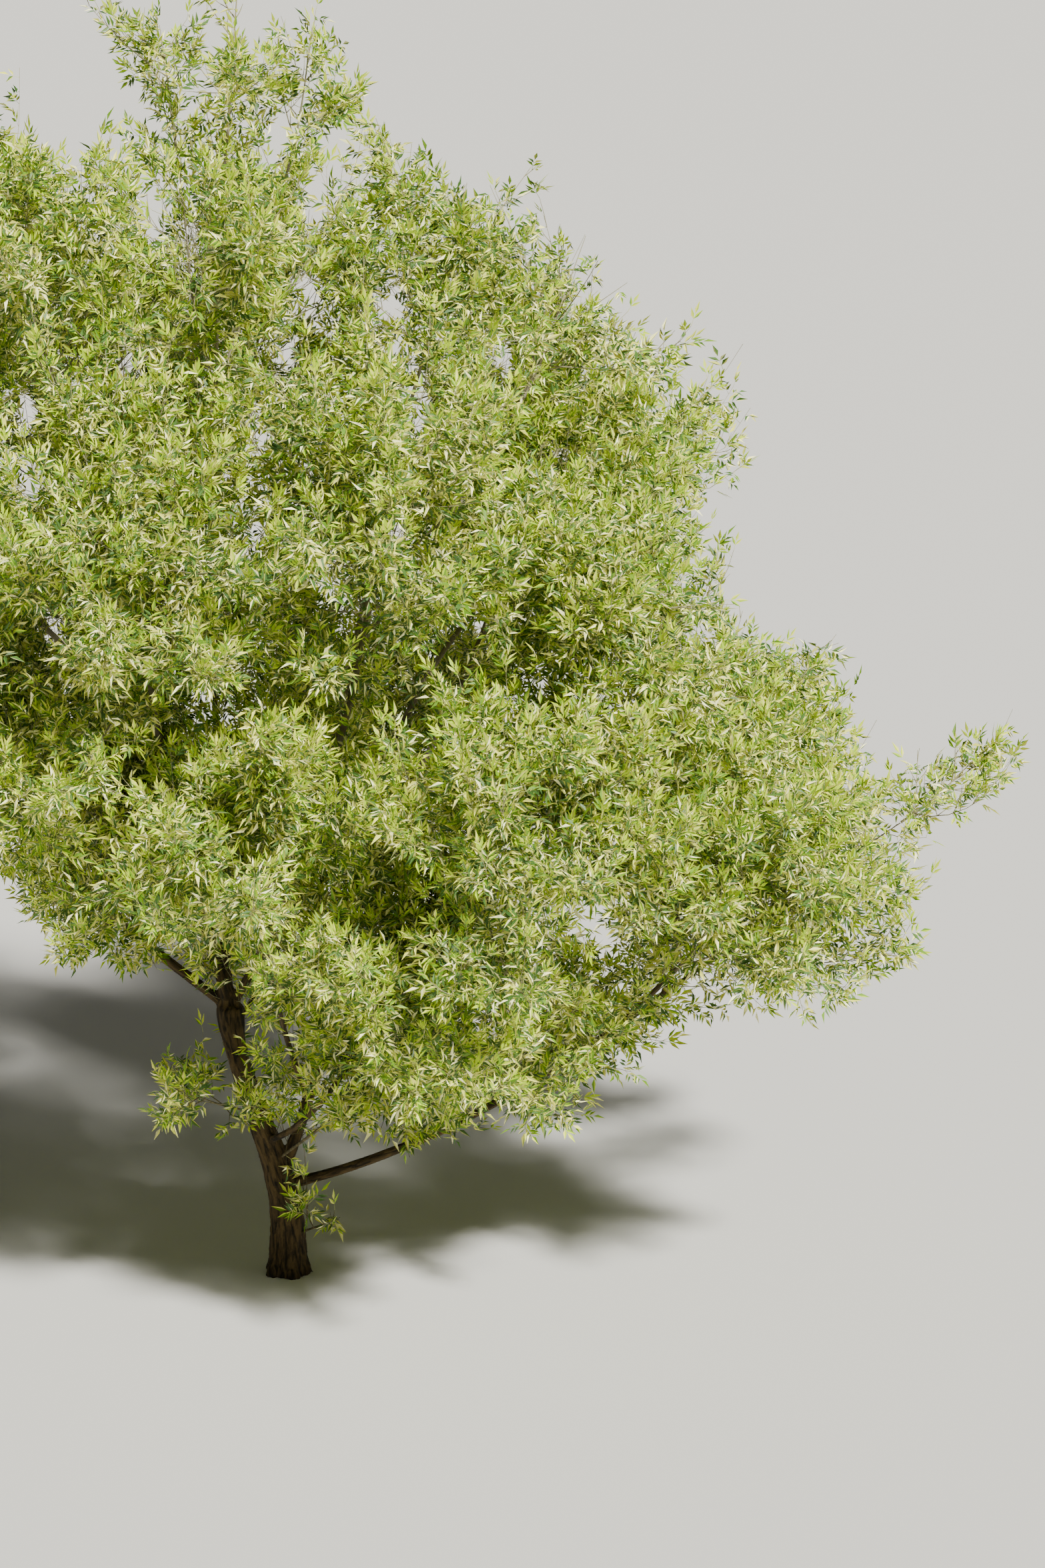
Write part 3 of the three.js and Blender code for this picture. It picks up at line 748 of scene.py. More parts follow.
@dataclass(frozen=True)
class Density:
    """Where the crown is dense or open, and how ragged the rims of its openings are.

    Attributes:
        clump_size: How far apart the denser parts are.
        open_under: Density under which no branchlet grows, low in the crown and at its top.
        thinning: Heights between which the crown becomes as open as it is at its top.
        rag_size: How far apart the rags on a rim are.
        rag_depth: How deep they are round the crown, as a share of an opening.
        gap_rag_depth: How deep they are in the gaps within it.
    """

    clump_size: float = 150
    open_under: Span = (-0.2, -0.02)
    thinning: Span = (3400, 4900)
    rag_size: float = 120
    rag_depth: float = 0.8
    gap_rag_depth: float = 1.7

    def at(self, point: Vector) -> float:
        """Returns how dense the crown is at a point: about 0 in the mean."""
        return noise.noise(point / self.clump_size)

    def is_open(self, point: Vector) -> bool:
        """Tells whether a point lies between the denser parts of the crown."""
        low, high = self.thinning
        return self.at(point) < lerp(*self.open_under, clamp((point.z - low) / (high - low), 0, 1))

    def ragged(self, point: Vector, depth: float) -> float:
        """Returns how far an opening reaches at a point, as a share of its usual size."""
        return 1 + depth * noise.noise(point / self.rag_size)


@dataclass(frozen=True)
class StemRule:
    """How the stem of a mass grows: as in the solids, and on nearly to the rim of its space.

    Attributes:
        profile: Radii along the solids' stem, as shares of its root's.
        root_share: Root radius beside that of its bough's tip.
        least_radius: At the root.
        lift: How much it turns upwards over its length.
        wander: How much it turns about at each point.
        least_share: Of the way to the rim that the solids' stem goes.
        leaf: Length of the solids' leaves, for which it leaves room.
        full_leaf_mass: Radius of a mass whose leaves have that length.
        leaf_sizes: Smallest and largest of them beside that.
        entry_step: How far in the room ahead is measured.
        rim_margin: How far from the rim it ends here.
    """

    profile: tuple[float, ...] = (1, 0.85, 0.7, 0.52)
    root_share: float = 0.9
    least_radius: float = 6
    lift: float = 0.15
    wander: float = 0.13
    least_share: float = 0.5
    leaf: float = 470
    full_leaf_mass: float = 600
    leaf_sizes: Span = (0.35, 1.05)
    entry_step: float = 30
    rim_margin: float = 30


@dataclass(frozen=True)
class PairRule:
    """Where pairs of side twigs stand on a stem: those of the solids, and further rounds between them.

    Attributes:
        first: Place of the lowest pair, as a share of the stem's length.
        last: Place of the highest.
        spacing: Radius of a mass for each pair.
        counts: Fewest and most pairs.
        angles: Between a twig and the stem, at the stem's root and tip.
        unevenness: How much the pairs' turns round the stem vary, in radians.
        round_spacing: Radius of a mass for each further round.
        round_start: Turn of the first of these beside the solids' pairs, in half turns.
        round_step: From one of these to the next.
        round_unevenness: How much their turns vary either way, in radians.
        round_lift: Least and most that their twigs turn upwards.
    """

    first: float = 0.1
    last: float = 0.8
    spacing: float = 160
    counts: tuple[int, int] = (2, 4)
    angles: Span = (66, 42)
    unevenness: float = 0.5
    round_spacing: float = 330
    round_start: float = 0.25
    round_step: float = 0.5
    round_unevenness: float = 0.3
    round_lift: Span = (-0.4, 0.6)


@dataclass(frozen=True)
class TwigRule:
    """How a side twig grows, to about the rim of its mass's space.

    Attributes:
        lift: How much the solids' twigs turn upwards.
        reach: Least and most share of its room that it fills.
        uneven_rim: How far short of the rim it ends, or past it where under 0.
        clump_reach: How much further it runs towards a dense part of the crown.
        root_share: Its root radius beside that of its stem.
        stem_taper: How much the stem has thinned by its tip, for that.
        solid_tip: Radius in which the solids' stems and twigs end.
        tip: Radius in which every twig ends here.
        sag: How far it hangs under a straight line, beside its lift.
        aside: How far it bends aside, as a share of its length.
        bearing_from: Share of its length from which it bears branchlets.
        leafy_from: Share from which it bears leaves of its own.
    """

    lift: float = 0.18
    reach: Span = (0.8, 1)
    uneven_rim: Span = (-250, 160)
    clump_reach: float = 190
    root_share: float = 0.46
    stem_taper: float = 0.5
    solid_tip: float = 3.2
    tip: float = 1.1
    sag: float = 0.5
    aside: float = 0.12
    bearing_from: float = 0.16
    leafy_from: float = 0.5


@dataclass(frozen=True)
class BranchletRule:
    """How leafy branchlets stand in opposite pairs on a twig.

    Attributes:
        spacing: Length of twig for each pair.
        scatter: How far past its even place a pair may stand, as a share of the spacing.
        lengths: Shortest and longest.
        shares: Length beside the twig's, at the twig's root and tip.
        variation: Least and most of that length that one has.
        angles: Between one and the twig, at the twig's root and tip.
        angle_change: How much that varies either way.
        roll_change: How much a pair's turn round the twig varies either way, in radians.
        lift: Least and most that one turns upwards.
        sag: How far one hangs under a straight line, as a share of its length.
        radius: At the root.
        rim_share: Unevenness of their rim beside that of the twigs'.
        least_share: Of the shortest length that one may be cut down to.
        clump_growth: How much longer one is in a dense part of the crown.
        leafy_from: Share of its length from which it bears leaves.
    """

    spacing: float = 64
    scatter: float = 0.5
    lengths: Span = (65, 280)
    shares: Span = (0.52, 0.22)
    variation: Span = (0.6, 1.3)
    angles: Span = (60, 28)
    angle_change: float = 9
    roll_change: float = 0.35
    lift: Span = (0.15, 0.95)
    sag: float = 0.15
    radius: float = 2.3
    rim_share: float = 0.6
    least_share: float = 0.8
    clump_growth: float = 0.5
    leafy_from: float = 0.12


@dataclass(frozen=True)
class LeaderRule:
    """How an upright leafy shoot stands at a side twig's tip.

    Attributes:
        lift: Least and most that it turns upwards.
        lengths: Shortest and longest.
        root_share: Its root radius beside a branchlet's.
        leafy_from: Share of its length from which it bears leaves.
    """

    lift: Span = (0.3, 1.8)
    lengths: Span = (110, 300)
    root_share: float = 0.7
    leafy_from: float = 0.1


@dataclass(frozen=True)
class ShootRule:
    """How leafy shoots stand one by one along a bough.

    Attributes:
        floor: Height from which they grow.
        spacing: Length of bough for each.
        turn: From one to the next round the bough.
        turn_change: How much that varies either way, in radians.
        angles: Least and most between one and the bough.
        lengths: Shortest and longest.
        lift: How much they turn upwards.
        middle_radius: Half way along.
        leafy_from: Share of their length from which they bear leaves.
        overhang: How far from the bough's own mass their leaves may stand.
    """

    floor: float = 560
    spacing: float = 42
    turn: float = 137
    turn_change: float = 0.4
    angles: Span = (38, 66)
    lengths: Span = (140, 420)
    lift: float = 0.2
    middle_radius: float = 1.7
    leafy_from: float = 0.2
    overhang: float = 6000


@dataclass(frozen=True)
class LeafRule:
    """How leaves stand in opposite pairs on a twig, with a tuft of young ones at its tip.

    Attributes:
        spacing: Length of twig for each pair.
        last: Place of the last pair at most, as a share of the twig's length.
        roll_change: How much a pair's turn round the twig varies either way, in radians.
        angles: Least and most between a leaf and the twig.
        droop: Least and most that a leaf hangs. Under 0, it stands up.
        spin: How much a leaf tips to one side or the other.
        sizes: Smallest and largest, beside the kind's own.
        tapering: Size at the twig's root and at its tip.
        reach: How far a leaf of its kind's own size reaches.
        young_count: Of the young leaves at a tip.
        young_angles: As angles, for those.
        young_droop: As droop, for those.
        young_sizes: As sizes, for those.
    """

    spacing: float = 48
    last: float = 0.95
    roll_change: float = 0.5
    angles: Span = (38, 80)
    droop: Span = (-0.3, 0.55)
    spin: float = 2.8
    sizes: Span = (0.72, 1.15)
    tapering: Span = (1.08, 0.85)
    reach: float = 148
    young_count: int = 3
    young_angles: Span = (12, 42)
    young_droop: Span = (-0.7, -0.1)
    young_sizes: Span = (0.7, 1.1)


# Growth by these rules


@dataclass
class Stem:
    """The stem of a mass, with the solids' pairs of side twigs.

    Attributes:
        points: Its path.
        root: Its root radius.
        places: Of the pairs, as shares of its length.
        rolls: Their turns round it, in radians.
    """

    points: list[Vector]
    root: float
    places: list[float]
    rolls: list[float]


@dataclass
class Growth:
    """Grows the twigs and leaves of one mass, by the rule of the solids and on to finer twigs.

    Attributes:
        mass: Whose space it fills.
        index: The mass's place in the list, from which its seed comes.
        start: Where its stem starts.
        direction: Where its stem heads first.
        limits: Lowest and highest corner of the box that no leaf leaves.
        neck: Where the stem starts before it meets the space, for a mass on the trunk.
        overhang: How far a leaf may stand out of the space.
        twigs: All that has grown, the stem first.
        leaves: Their leaves. The fields between overhang and twigs are the rules.
    """

    mass: Mass
    index: int
    start: Vector
    direction: Vector
    limits: tuple[Vector, Vector]
    neck: list[Vector] = field(default_factory=list)
    overhang: float = 330
    density: Density = Density()
    stems: StemRule = StemRule()
    pairs: PairRule = PairRule()
    side_twigs: TwigRule = TwigRule()
    branchlets: BranchletRule = BranchletRule()
    leaders: LeaderRule = LeaderRule()
    shoots: ShootRule = ShootRule()
    foliage: LeafRule = LeafRule()
    twigs: list[Twig] = field(default_factory=list)
    leaves: list[LeafPlace] = field(default_factory=list)

    def stem_length(self) -> float:
        """Returns the length of the solids' stem, which leaves room for its end leaf."""
        inside = self.start + self.direction * self.stems.entry_step
        to_rim = self.mass.room_ahead(inside, self.direction)
        leaf_size = clamp(self.mass.radius / self.stems.full_leaf_mass, *self.stems.leaf_sizes)
        return max(to_rim - self.stems.leaf * leaf_size, self.stems.least_share * to_rim)

    def stem_path(self, length: float, stream: Stream) -> list[Vector]:
        """Gives the stem's path: it turns upwards as it goes, and wanders a little.

        Args:
            length: The stem's.
            stream: The mass's own numbers.

        Returns:
            Its points.
        """
        segments = len(self.stems.profile)
        points = [self.start.copy()]
        ahead = self.direction.copy()
        for k in range(segments):
            points.append(points[k] + ahead * (length / segments))
            wander = stream.vector() * self.stems.wander
            ahead = (ahead + UP * (self.stems.lift / segments) + wander).normalized()
        return points

    def pair_places(self) -> list[float]:
        """Returns where the solids' pairs of twigs stand on the stem."""
        count = int(clamp(math.floor(self.mass.radius / self.pairs.spacing + 0.5), *self.pairs.counts))
        return [lerp(self.pairs.first, self.pairs.last, k / (count - 1)) for k in range(count)]

    def grow(self) -> None:
        """Grows the stem, its side twigs and all that they bear."""
        seed = child_seed(SEED, self.index)
        stream = Stream(seed)
        points = self.stem_path(self.stem_length(), stream)
        root = max(self.stems.root_share * Boughs.tip_share * self.mass.radius, self.stems.least_radius)
        self.add_stem(points, root)
        stream.skip(END_LEAF_DRAWS)
        turn = stream.draw() * math.pi
        places = self.pair_places()
        unevenness = [(stream.draw() - 0.5) * self.pairs.unevenness for _ in places]
        rolls = [turn + k * math.pi / 2 + more for k, more in enumerate(unevenness)]
        stem = Stem(points, root, places, rolls)
        for k, (at, roll) in enumerate(zip(places, rolls)):
            seeds = [child_seed(seed, 2 * k + side) for side in (0, 1)]
            self.grow_pair(stem, at, roll, seeds, self.side_twigs.lift)
        for number in range(round(self.mass.radius / self.pairs.round_spacing)):
            self.grow_round(stem, child_seed(seed, number), number)

    def grow_round(self, stem: Stem, seed: int, number: int) -> None:
        """Grows a further round of side twigs, between those of the solids.

        Args:
            stem: What they stand on.
            seed: The round's own.
            number: The round's, from 0 on.
        """
        stream = Stream(child_seed(seed, ROUND_SEEDS))
        step = (self.pairs.last - self.pairs.first) / (len(stem.places) - 1)
        turn = math.pi * (self.pairs.round_start + self.pairs.round_step * number)
        for k, (place, roll) in enumerate(zip(stem.places, stem.rolls)):
            seeds = [child_seed(seed, ROUND_SEEDS + 2 * k + side) for side in (1, 2)]
            at = min(place + step * stream.draw(), 1.0)
            aside = roll + turn + stream.either_way(self.pairs.round_unevenness)
            self.grow_pair(stem, at, aside, seeds, stream.between(*self.pairs.round_lift))

    def add_stem(self, points: list[Vector], root: float) -> None:
        """Adds the stem, run on nearly to the rim with its own branchlets.

        Args:
            points: The path of the solids' stem.
            root: Its root radius.
        """
        _, ahead = point_on_path(points, 1)
        margin = self.stems.rim_margin
        run_on = max(self.mass.room_ahead(points[-1], ahead) - margin, margin)
        while run_on > ROOM_STEP and not self.in_reach(points[-1] + ahead * run_on):
            run_on -= ROOM_STEP
        tip = points[-1] + ahead * run_on
        radii = [share * root for share in self.stems.profile]
        radii += [self.side_twigs.solid_tip, self.side_twigs.tip]
        self.twigs.append(Twig([*self.neck, *points, tip], [root] * len(self.neck) + radii))
        self.bear([points[-1], tip], 0.0, Stream(child_seed(SEED, STEM_SEEDS + self.index)))

    def grow_pair(self, stem: Stem, at: float, roll: float, seeds: list[int], lift: float) -> None:
        """Grows two opposite side twigs.

        Args:
            stem: What they stand on.
            at: Their place on it, as a share of its length.
            roll: Their turn round it, in radians.
            seeds: One for each twig.
            lift: How far they turn upwards.
        """
        rule = self.side_twigs
        node, ahead = point_on_path(stem.points, at)
        angle = math.radians(lerp(*self.pairs.angles, at))
        radius = max(rule.root_share * stem.root * (1 - rule.stem_taper * at), rule.solid_tip)
        for side, seed in enumerate(seeds):
            self.grow_twig(node, sideways(ahead, angle, roll + side * math.pi), radius, seed, lift)

    def grow_twig(self, start: Vector, direction: Vector, radius: float, seed: int, lift: float) -> None:
        """Grows one side twig to about the rim, with what it bears and its leader.

        Args:
            start: Where it leaves the stem.
            direction: Its direction there.
            radius: At its root.
            seed: Its own.
            lift: How far it turns upwards.
        """
        rule = self.side_twigs
        stream = Stream(seed)
        chord = (direction + UP * lift).normalized()
        room = self.mass.room_ahead(start, chord)
        length = room * stream.between(*rule.reach) - stream.between(*rule.uneven_rim)
        length += rule.clump_reach * self.density.at(start + chord * room)
        while length > 0 and not self.in_reach(start + chord * length):
            length -= ROOM_STEP
        if length < self.branchlets.lengths[0]:
            return
        path = self.bent_path(start, chord, length, rule.sag * lift, stream)
        self.twigs.append(Twig(path, tapering(radius, rule.tip, len(path))))
        self.bear(path, rule.bearing_from, stream)
        self.grow_leader(path, stream)

    def bent_path(
        self, start: Vector, chord: Vector, length: float, sag: float, stream: Stream
    ) -> list[Vector]:
        """Gives a path that sags under a straight line and bends a little aside.

        Args:
            start: Its first point.
            chord: The line's direction.
            length: The line's.
            sag: As a share of the length.
            stream: Gives its bend aside.

        Returns:
            Its points.
        """
        aside = sideways(chord, math.pi / 2, stream.draw() * 2 * math.pi)
        bend = (UP * -sag + aside * self.side_twigs.aside) * length
        return [start + chord * (length * share) + bend * (share * (1 - share)) for share in PATH_SHARES]

    def slender_path(self, start: Vector, chord: Vector, length: float, stream: Stream) -> list[Vector]:
        """Returns a path for a branchlet or a shoot: a bent one with half as many parts."""
        return self.bent_path(start, chord, length, self.branchlets.sag, stream)[::2]

    def bear(self, path: list[Vector], first: float, stream: Stream) -> None:
        """Puts pairs of branchlets along a twig where the crown is dense, and leaves on its outer part.

        Args:
            path: The twig's.
            first: The share of its length from which branchlets stand on it.
            stream: The twig's own numbers.
        """
        rule = self.branchlets
        length = path_length(path)
        count = max(int(length * (1 - first) / rule.spacing), 1)
        roll = stream.draw() * math.pi
        for k in range(count):
            at = lerp(first, 1.0, (k + stream.draw() * rule.scatter) / count)
            node, ahead = point_on_path(path, at)
            angle = math.radians(lerp(*rule.angles, at) + stream.either_way(rule.angle_change))
            roll += math.pi / 2 + stream.either_way(rule.roll_change)
            for side in (0, 1):
                reach = length * lerp(*rule.shares, at) * stream.between(*rule.variation)
                out = sideways(ahead, angle, roll + side * math.pi)
                self.grow_branchlet(node, out, reach, stream)
        self.put_leaves(path, self.side_twigs.leafy_from, stream)

    def grow_branchlet(self, start: Vector, direction: Vector, reach: float, stream: Stream) -> None:
        """Grows one leafy branchlet where the crown is dense and the space has room for it.

        Args:
            start: Where it leaves its twig.
            direction: Its direction there.
            reach: How long it would grow.
            stream: The twig's own numbers.
        """
        rule = self.branchlets
        chord = (direction + UP * stream.between(*rule.lift)).normalized()
        short = stream.between(*self.side_twigs.uneven_rim) * rule.rim_share
        own = stream.branch()
        length = min(clamp(reach, *rule.lengths), self.mass.room_ahead(start, chord) - short)
        tip = start + chord * length
        if length < rule.lengths[0] * rule.least_share or self.density.is_open(tip):
            return
        length *= 1 + rule.clump_growth * self.density.at(tip)
        if not self.in_reach(start + chord * length):
            return
        path = self.slender_path(start, chord, length, own)
        self.twigs.append(Twig(path, tapering(rule.radius, self.side_twigs.tip, len(path))))
        self.put_leaves(path, rule.leafy_from, own)

    def grow_leader(self, twig: list[Vector], stream: Stream) -> None:
        """Grows the upright leafy shoot at a side twig's tip.

        Args:
            twig: The twig's path.
            stream: The twig's own numbers.
        """
        tip, ahead = point_on_path(twig, 1)
        chord = (ahead + UP * stream.between(*self.leaders.lift)).normalized()
        length = stream.between(*self.leaders.lengths)
        own = stream.branch()
        if not self.in_reach(tip + chord * length):
            return
        path = self.slender_path(tip, chord, length, own)
        root = self.branchlets.radius * self.leaders.root_share
        self.twigs.append(Twig(path, [root, self.side_twigs.tip, self.side_twigs.tip]))
        self.put_leaves(path, self.leaders.leafy_from, own)

    def grow_shoots(self, bough: Limb) -> None:
        """Grows leafy shoots along the mass's bough, whose leaves may stand in other masses' spaces.

        Args:
            bough: The bough.
        """
        rule = self.shoots
        self.overhang = rule.overhang
        stream = Stream(child_seed(SEED, SHOOT_SEEDS + self.index))
        count = int(path_length(bough.points) / rule.spacing)
        roll = stream.draw() * math.pi
        for k in range(count):
            node, ahead = point_on_path(bough.points, (k + stream.draw()) / count)
            roll += math.radians(rule.turn) + stream.either_way(rule.turn_change)
            out = sideways(ahead, math.radians(stream.between(*rule.angles)), roll)
            length = stream.between(*rule.lengths)
            tip = node + out * length
            if node.z < rule.floor or not self.in_reach(tip) or self.density.is_open(tip):
                continue
            path = self.slender_path(node, (out + UP * rule.lift).normalized(), length, stream)
            self.twigs.append(Twig(path, [self.branchlets.radius, rule.middle_radius, self.side_twigs.tip]))
            self.put_leaves(path, rule.leafy_from, stream)

    def put_leaves(self, path: list[Vector], first: float, stream: Stream) -> None:
        """Puts opposite pairs of leaves on a twig, and a tuft of young leaves at its tip.

        Args:
            path: The twig's.
            first: The share of its length from which it is leafy.
            stream: The twig's own numbers.
        """
        rule = self.foliage
        spray = pick_spray(stream).value
        count = max(int(path_length(path) * (1 - first) / rule.spacing), 1)
        roll = stream.draw() * math.pi
        for k in range(count):
            at = lerp(first, rule.last, (k + 0.5) / count)
            node, ahead = point_on_path(path, at)
            roll += math.pi / 2 + stream.either_way(rule.roll_change)
            for side in (0, 1):
                angle = math.radians(stream.between(*rule.angles))
                out = sideways(ahead, angle, roll + side * math.pi)
                kind = stream.choose(spray)
                size = stream.between(*rule.sizes) * lerp(*rule.tapering, at)
                self.put_leaf(node, out, stream.between(*rule.droop), size, kind, stream)
        tip, ahead = point_on_path(path, 1)
        for k in range(rule.young_count):
            angle = math.radians(stream.between(*rule.young_angles))
            out = sideways(ahead, angle, roll + k * 2 * math.pi / rule.young_count)
            kind = stream.choose(YOUNG_KINDS)
            droop = stream.between(*rule.young_droop)
            size = stream.between(*rule.young_sizes)
            self.put_leaf(tip, out, droop, size, kind, stream)

    def put_leaf(
        self, root: Vector, out: Vector, droop: float, size: float, kind: int, stream: Stream
    ) -> None:
        """Puts one leaf, unless it would stand where none may.

        Args:
            root: Where its stalk starts.
            out: Its direction before it droops.
            droop: How much it hangs. Under 0, it stands up.
            size: Beside its kind's own.
            kind: The number of its kind.
            stream: The twig's own numbers.
        """
        ahead = (out - UP * droop).normalized()
        spin = stream.vector()
        tip = root + ahead * self.foliage.reach * size
        if not self.has_room(root, tip):
            return
        across = (UP + spin * self.foliage.spin).cross(ahead).normalized()
        normal = ahead.cross(across)
        turn = Matrix((ahead, across, normal)).transposed().to_quaternion()
        self.leaves.append(LeafPlace(root, turn, size, kind))

    def in_reach(self, point: Vector) -> bool:
        """Tells whether a point lies within the limits and out of the crown's surroundings."""
        low, high = self.limits
        if not all(low[axis] < point[axis] < high[axis] for axis in range(3)):
            return False
        return clear_of(SURROUNDINGS, point, self.density.ragged(point, self.density.rag_depth))

    def has_room(self, root: Vector, tip: Vector) -> bool:
        """Tells whether a leaf stays by its space, within the limits and out of every opening."""
        if not self.in_reach(tip) or self.mass.depth_inside(tip) < -self.overhang:
            return False
        return clear_of(GAPS, (root + tip) / 2, self.density.ragged(tip, self.density.gap_rag_depth))


# Node graphs


class Graph:
    """Places and links the nodes of one node tree."""

    def __init__(self, tree: NodeTree) -> None:
        """Starts on an empty tree."""
        self.tree = tree

    def feed(self, socket: NodeSocket, value: object) -> None:
        """Links a socket to another node's output, or sets its plain value."""
        if isinstance(value, NodeSocket):
            self.tree.links.new(value, socket)
        else:
            socket.default_value = value

    def add(self, kind: str, inputs: dict | None = None, **settings: object) -> Node:
        """Adds a node.

        Args:
            kind: Its type.
            inputs: A value or an output for each input, by name or number.
            settings: Its own options.

        Returns:
            The node.
        """
        node = self.tree.nodes.new(kind)
        for name, value in settings.items():
            setattr(node, name, value)
        for name, value in (inputs or {}).items():
            self.feed(node.inputs[name], value)
        return node

    def maths(self, operation: str, *values: object) -> NodeSocket:
        """Adds a Math node and returns its output."""
        return self.add("ShaderNodeMath", dict(enumerate(values)), operation=operation).outputs[0]

    def noise(self, place: object, scale: object, detail: float, distortion: float = 0.0) -> NodeSocket:
        """Adds a Noise node and returns its output."""
        given = {"Vector": place, "Scale": scale, "Detail": detail, "Distortion": distortion}
        return self.add("ShaderNodeTexNoise", given).outputs["Fac"]

    def share(self, value: object, low: float, high: float) -> NodeSocket:
        """Adds a Map Range node from low to high and returns its output."""
        given = {"Value": value, "From Min": low, "From Max": high}
        return self.add("ShaderNodeMapRange", given).outputs["Result"]

    def attribute(self, name: str, kind: str) -> NodeSocket:
        """Adds a node that reads a mesh's attribute, and returns its output."""
        node = self.add("GeometryNodeInputNamedAttribute", {"Name": name}, data_type=kind)
        return node.outputs["Attribute"]

    def dress(self, geometry: object, finish: Material) -> None:
        """Ends a tree of geometry: smooth, with its instances made real, in one finish."""
        smooth = self.add("GeometryNodeSetShadeSmooth", {"Geometry": geometry})
        real = self.add("GeometryNodeRealizeInstances", {"Geometry": smooth.outputs[0]})
        dressed = self.add("GeometryNodeSetMaterial", {"Geometry": real.outputs[0], "Material": finish})
        self.add("NodeGroupOutput", {"Geometry": dressed.outputs[0]})


def new_group(name: str, kind: str, inputs: dict[str, object], outputs: dict[str, str]) -> Graph:
    """Makes a node group with its inputs and outputs.

    Args:
        name: Of the group.
        kind: Its type of tree.
        inputs: The default of each input, or the type of its socket where that has none.
        outputs: The type of each output's socket.

    Returns:
        A graph on the group's tree.
    """
    tree = bpy.data.node_groups.new(name, kind)
    types = {int: "NodeSocketInt", float: "NodeSocketFloat", tuple: "NodeSocketColor"}
    for label, value in inputs.items():
        socket_type = types.get(type(value), value)
        socket = tree.interface.new_socket(label, in_out="INPUT", socket_type=socket_type)
        if type(value) in types:
            socket.default_value = value
    for label, socket_type in outputs.items():
        tree.interface.new_socket(label, in_out="OUTPUT", socket_type=socket_type)
    return Graph(tree)


def new_material(name: str) -> tuple[Material, Graph]:
    """Makes an empty material and returns it with a graph on its nodes."""
    material = bpy.data.materials.new(name)
    material.use_nodes = True
    material.node_tree.nodes.clear()
    return material, Graph(material.node_tree)


def linear(colour: int) -> tuple[float, float, float, float]:
    """Returns a colour that is written as on a screen, 0xRRGGBB, as light."""
    parts = [((colour >> shift) & 255) / 255 for shift in (16, 8, 0)]
    light = [p / 12.92 if p <= 0.04045 else ((p + 0.055) / 1.055) ** 2.4 for p in parts]
    return (*light, 1.0)


# Finishes


def leaf_tint_group() -> NodeTree:
    """Builds the group that varies a leaf colour over the crown and from leaf to leaf."""
    inputs = {
        "Colour": (0.5, 0.5, 0.5, 1),
        "Variation": 0.2,
        "Crown Scale": 1.4,
        "Leaf Scale": 23.0,
        "Gain": 2.0,
        "Hue Turn": -0.05,
        "Least Roughness": 0.36,
        "Roughness Change": 0.3,
    }
    outputs = {"Colour": "NodeSocketColor", "Roughness": "NodeSocketFloat"}
    graph = new_group("leaf_tint", "ShaderNodeTree", inputs, outputs)
    given = graph.add("NodeGroupInput").outputs
    place = graph.add("ShaderNodeTexCoord").outputs["Object"]
    crown = graph.noise(place, given["Crown Scale"], detail=2.0)
    leaf = graph.noise(place, given["Leaf Scale"], detail=1.0)
    about_zero = graph.maths("SUBTRACT", graph.maths("ADD", crown, leaf), 1.0)
    strength = graph.maths("MULTIPLY", given["Variation"], given["Gain"])
    change = graph.maths("MULTIPLY", about_zero, strength)
    unturned_hue = 0.5
    hue = graph.maths("ADD", graph.maths("MULTIPLY", change, given["Hue Turn"]), unturned_hue)
    tint = graph.add("ShaderNodeHueSaturation", {"Color": given["Colour"], "Hue": hue})
    graph.feed(tint.inputs["Value"], graph.maths("ADD", change, 1.0))
    rougher = graph.maths("MULTIPLY", leaf, given["Roughness Change"])
    roughness = graph.maths("ADD", rougher, given["Least Roughness"])
    graph.add("NodeGroupOutput", {"Colour": tint.outputs["Color"], "Roughness": roughness})
    return graph.tree


@dataclass(frozen=True)
class LeafFinish:
    """The finish of one tone of the leaves: a soft blade that lets some light through.

    Attributes:
        name: Of the material.
        colour: As on a screen.
        variation: How much its brightness changes from leaf to leaf.
        passing: Share of the light that goes through.
    """

    name: str
    colour: int
    variation: float
    passing: float

    def material(self, group: NodeTree) -> Material:
        """Builds the material.

        Args:
            group: The shared group that varies its colour.

        Returns:
            The material.
        """
        material, graph = new_material(self.name)
        tint = graph.add("ShaderNodeGroup", node_tree=group)
        graph.feed(tint.inputs["Colour"], linear(self.colour))
        graph.feed(tint.inputs["Variation"], self.variation)
        blade = graph.add("ShaderNodeBsdfPrincipled", {"Specular IOR Level": 0.4})
        graph.feed(blade.inputs["Base Color"], tint.outputs["Colour"])
        graph.feed(blade.inputs["Roughness"], tint.outputs["Roughness"])
        through = graph.add("ShaderNodeBsdfTranslucent", {"Color": linear(self.colour)})
        mix = graph.add("ShaderNodeMixShader", {0: self.passing, 1: blade.outputs[0], 2: through.outputs[0]})
        graph.add("ShaderNodeOutputMaterial", {"Surface": mix.outputs[0]})
        return material


LEAF_FINISHES = {
    Tone.GREY_GREEN: LeafFinish("leaf_grey_green", 0x4C6E2E, 0.5, 0.14),
    Tone.FRESH_GREEN: LeafFinish("leaf_fresh_green", 0x6C941E, 0.46, 0.24),
    Tone.CREAM: LeafFinish("leaf_cream_edge", 0xD8D862, 0.24, 0.14),
    Tone.WHITE: LeafFinish("leaf_white_edge", 0xFFFBB8, 0.12, 0.14),
    Tone.LIME: LeafFinish("leaf_lime_shoot", 0xBEDA26, 0.22, 0.32),
    Tone.STALK: LeafFinish("leaf_stalk", 0xB2B76A, 0.15, 0.15),
}


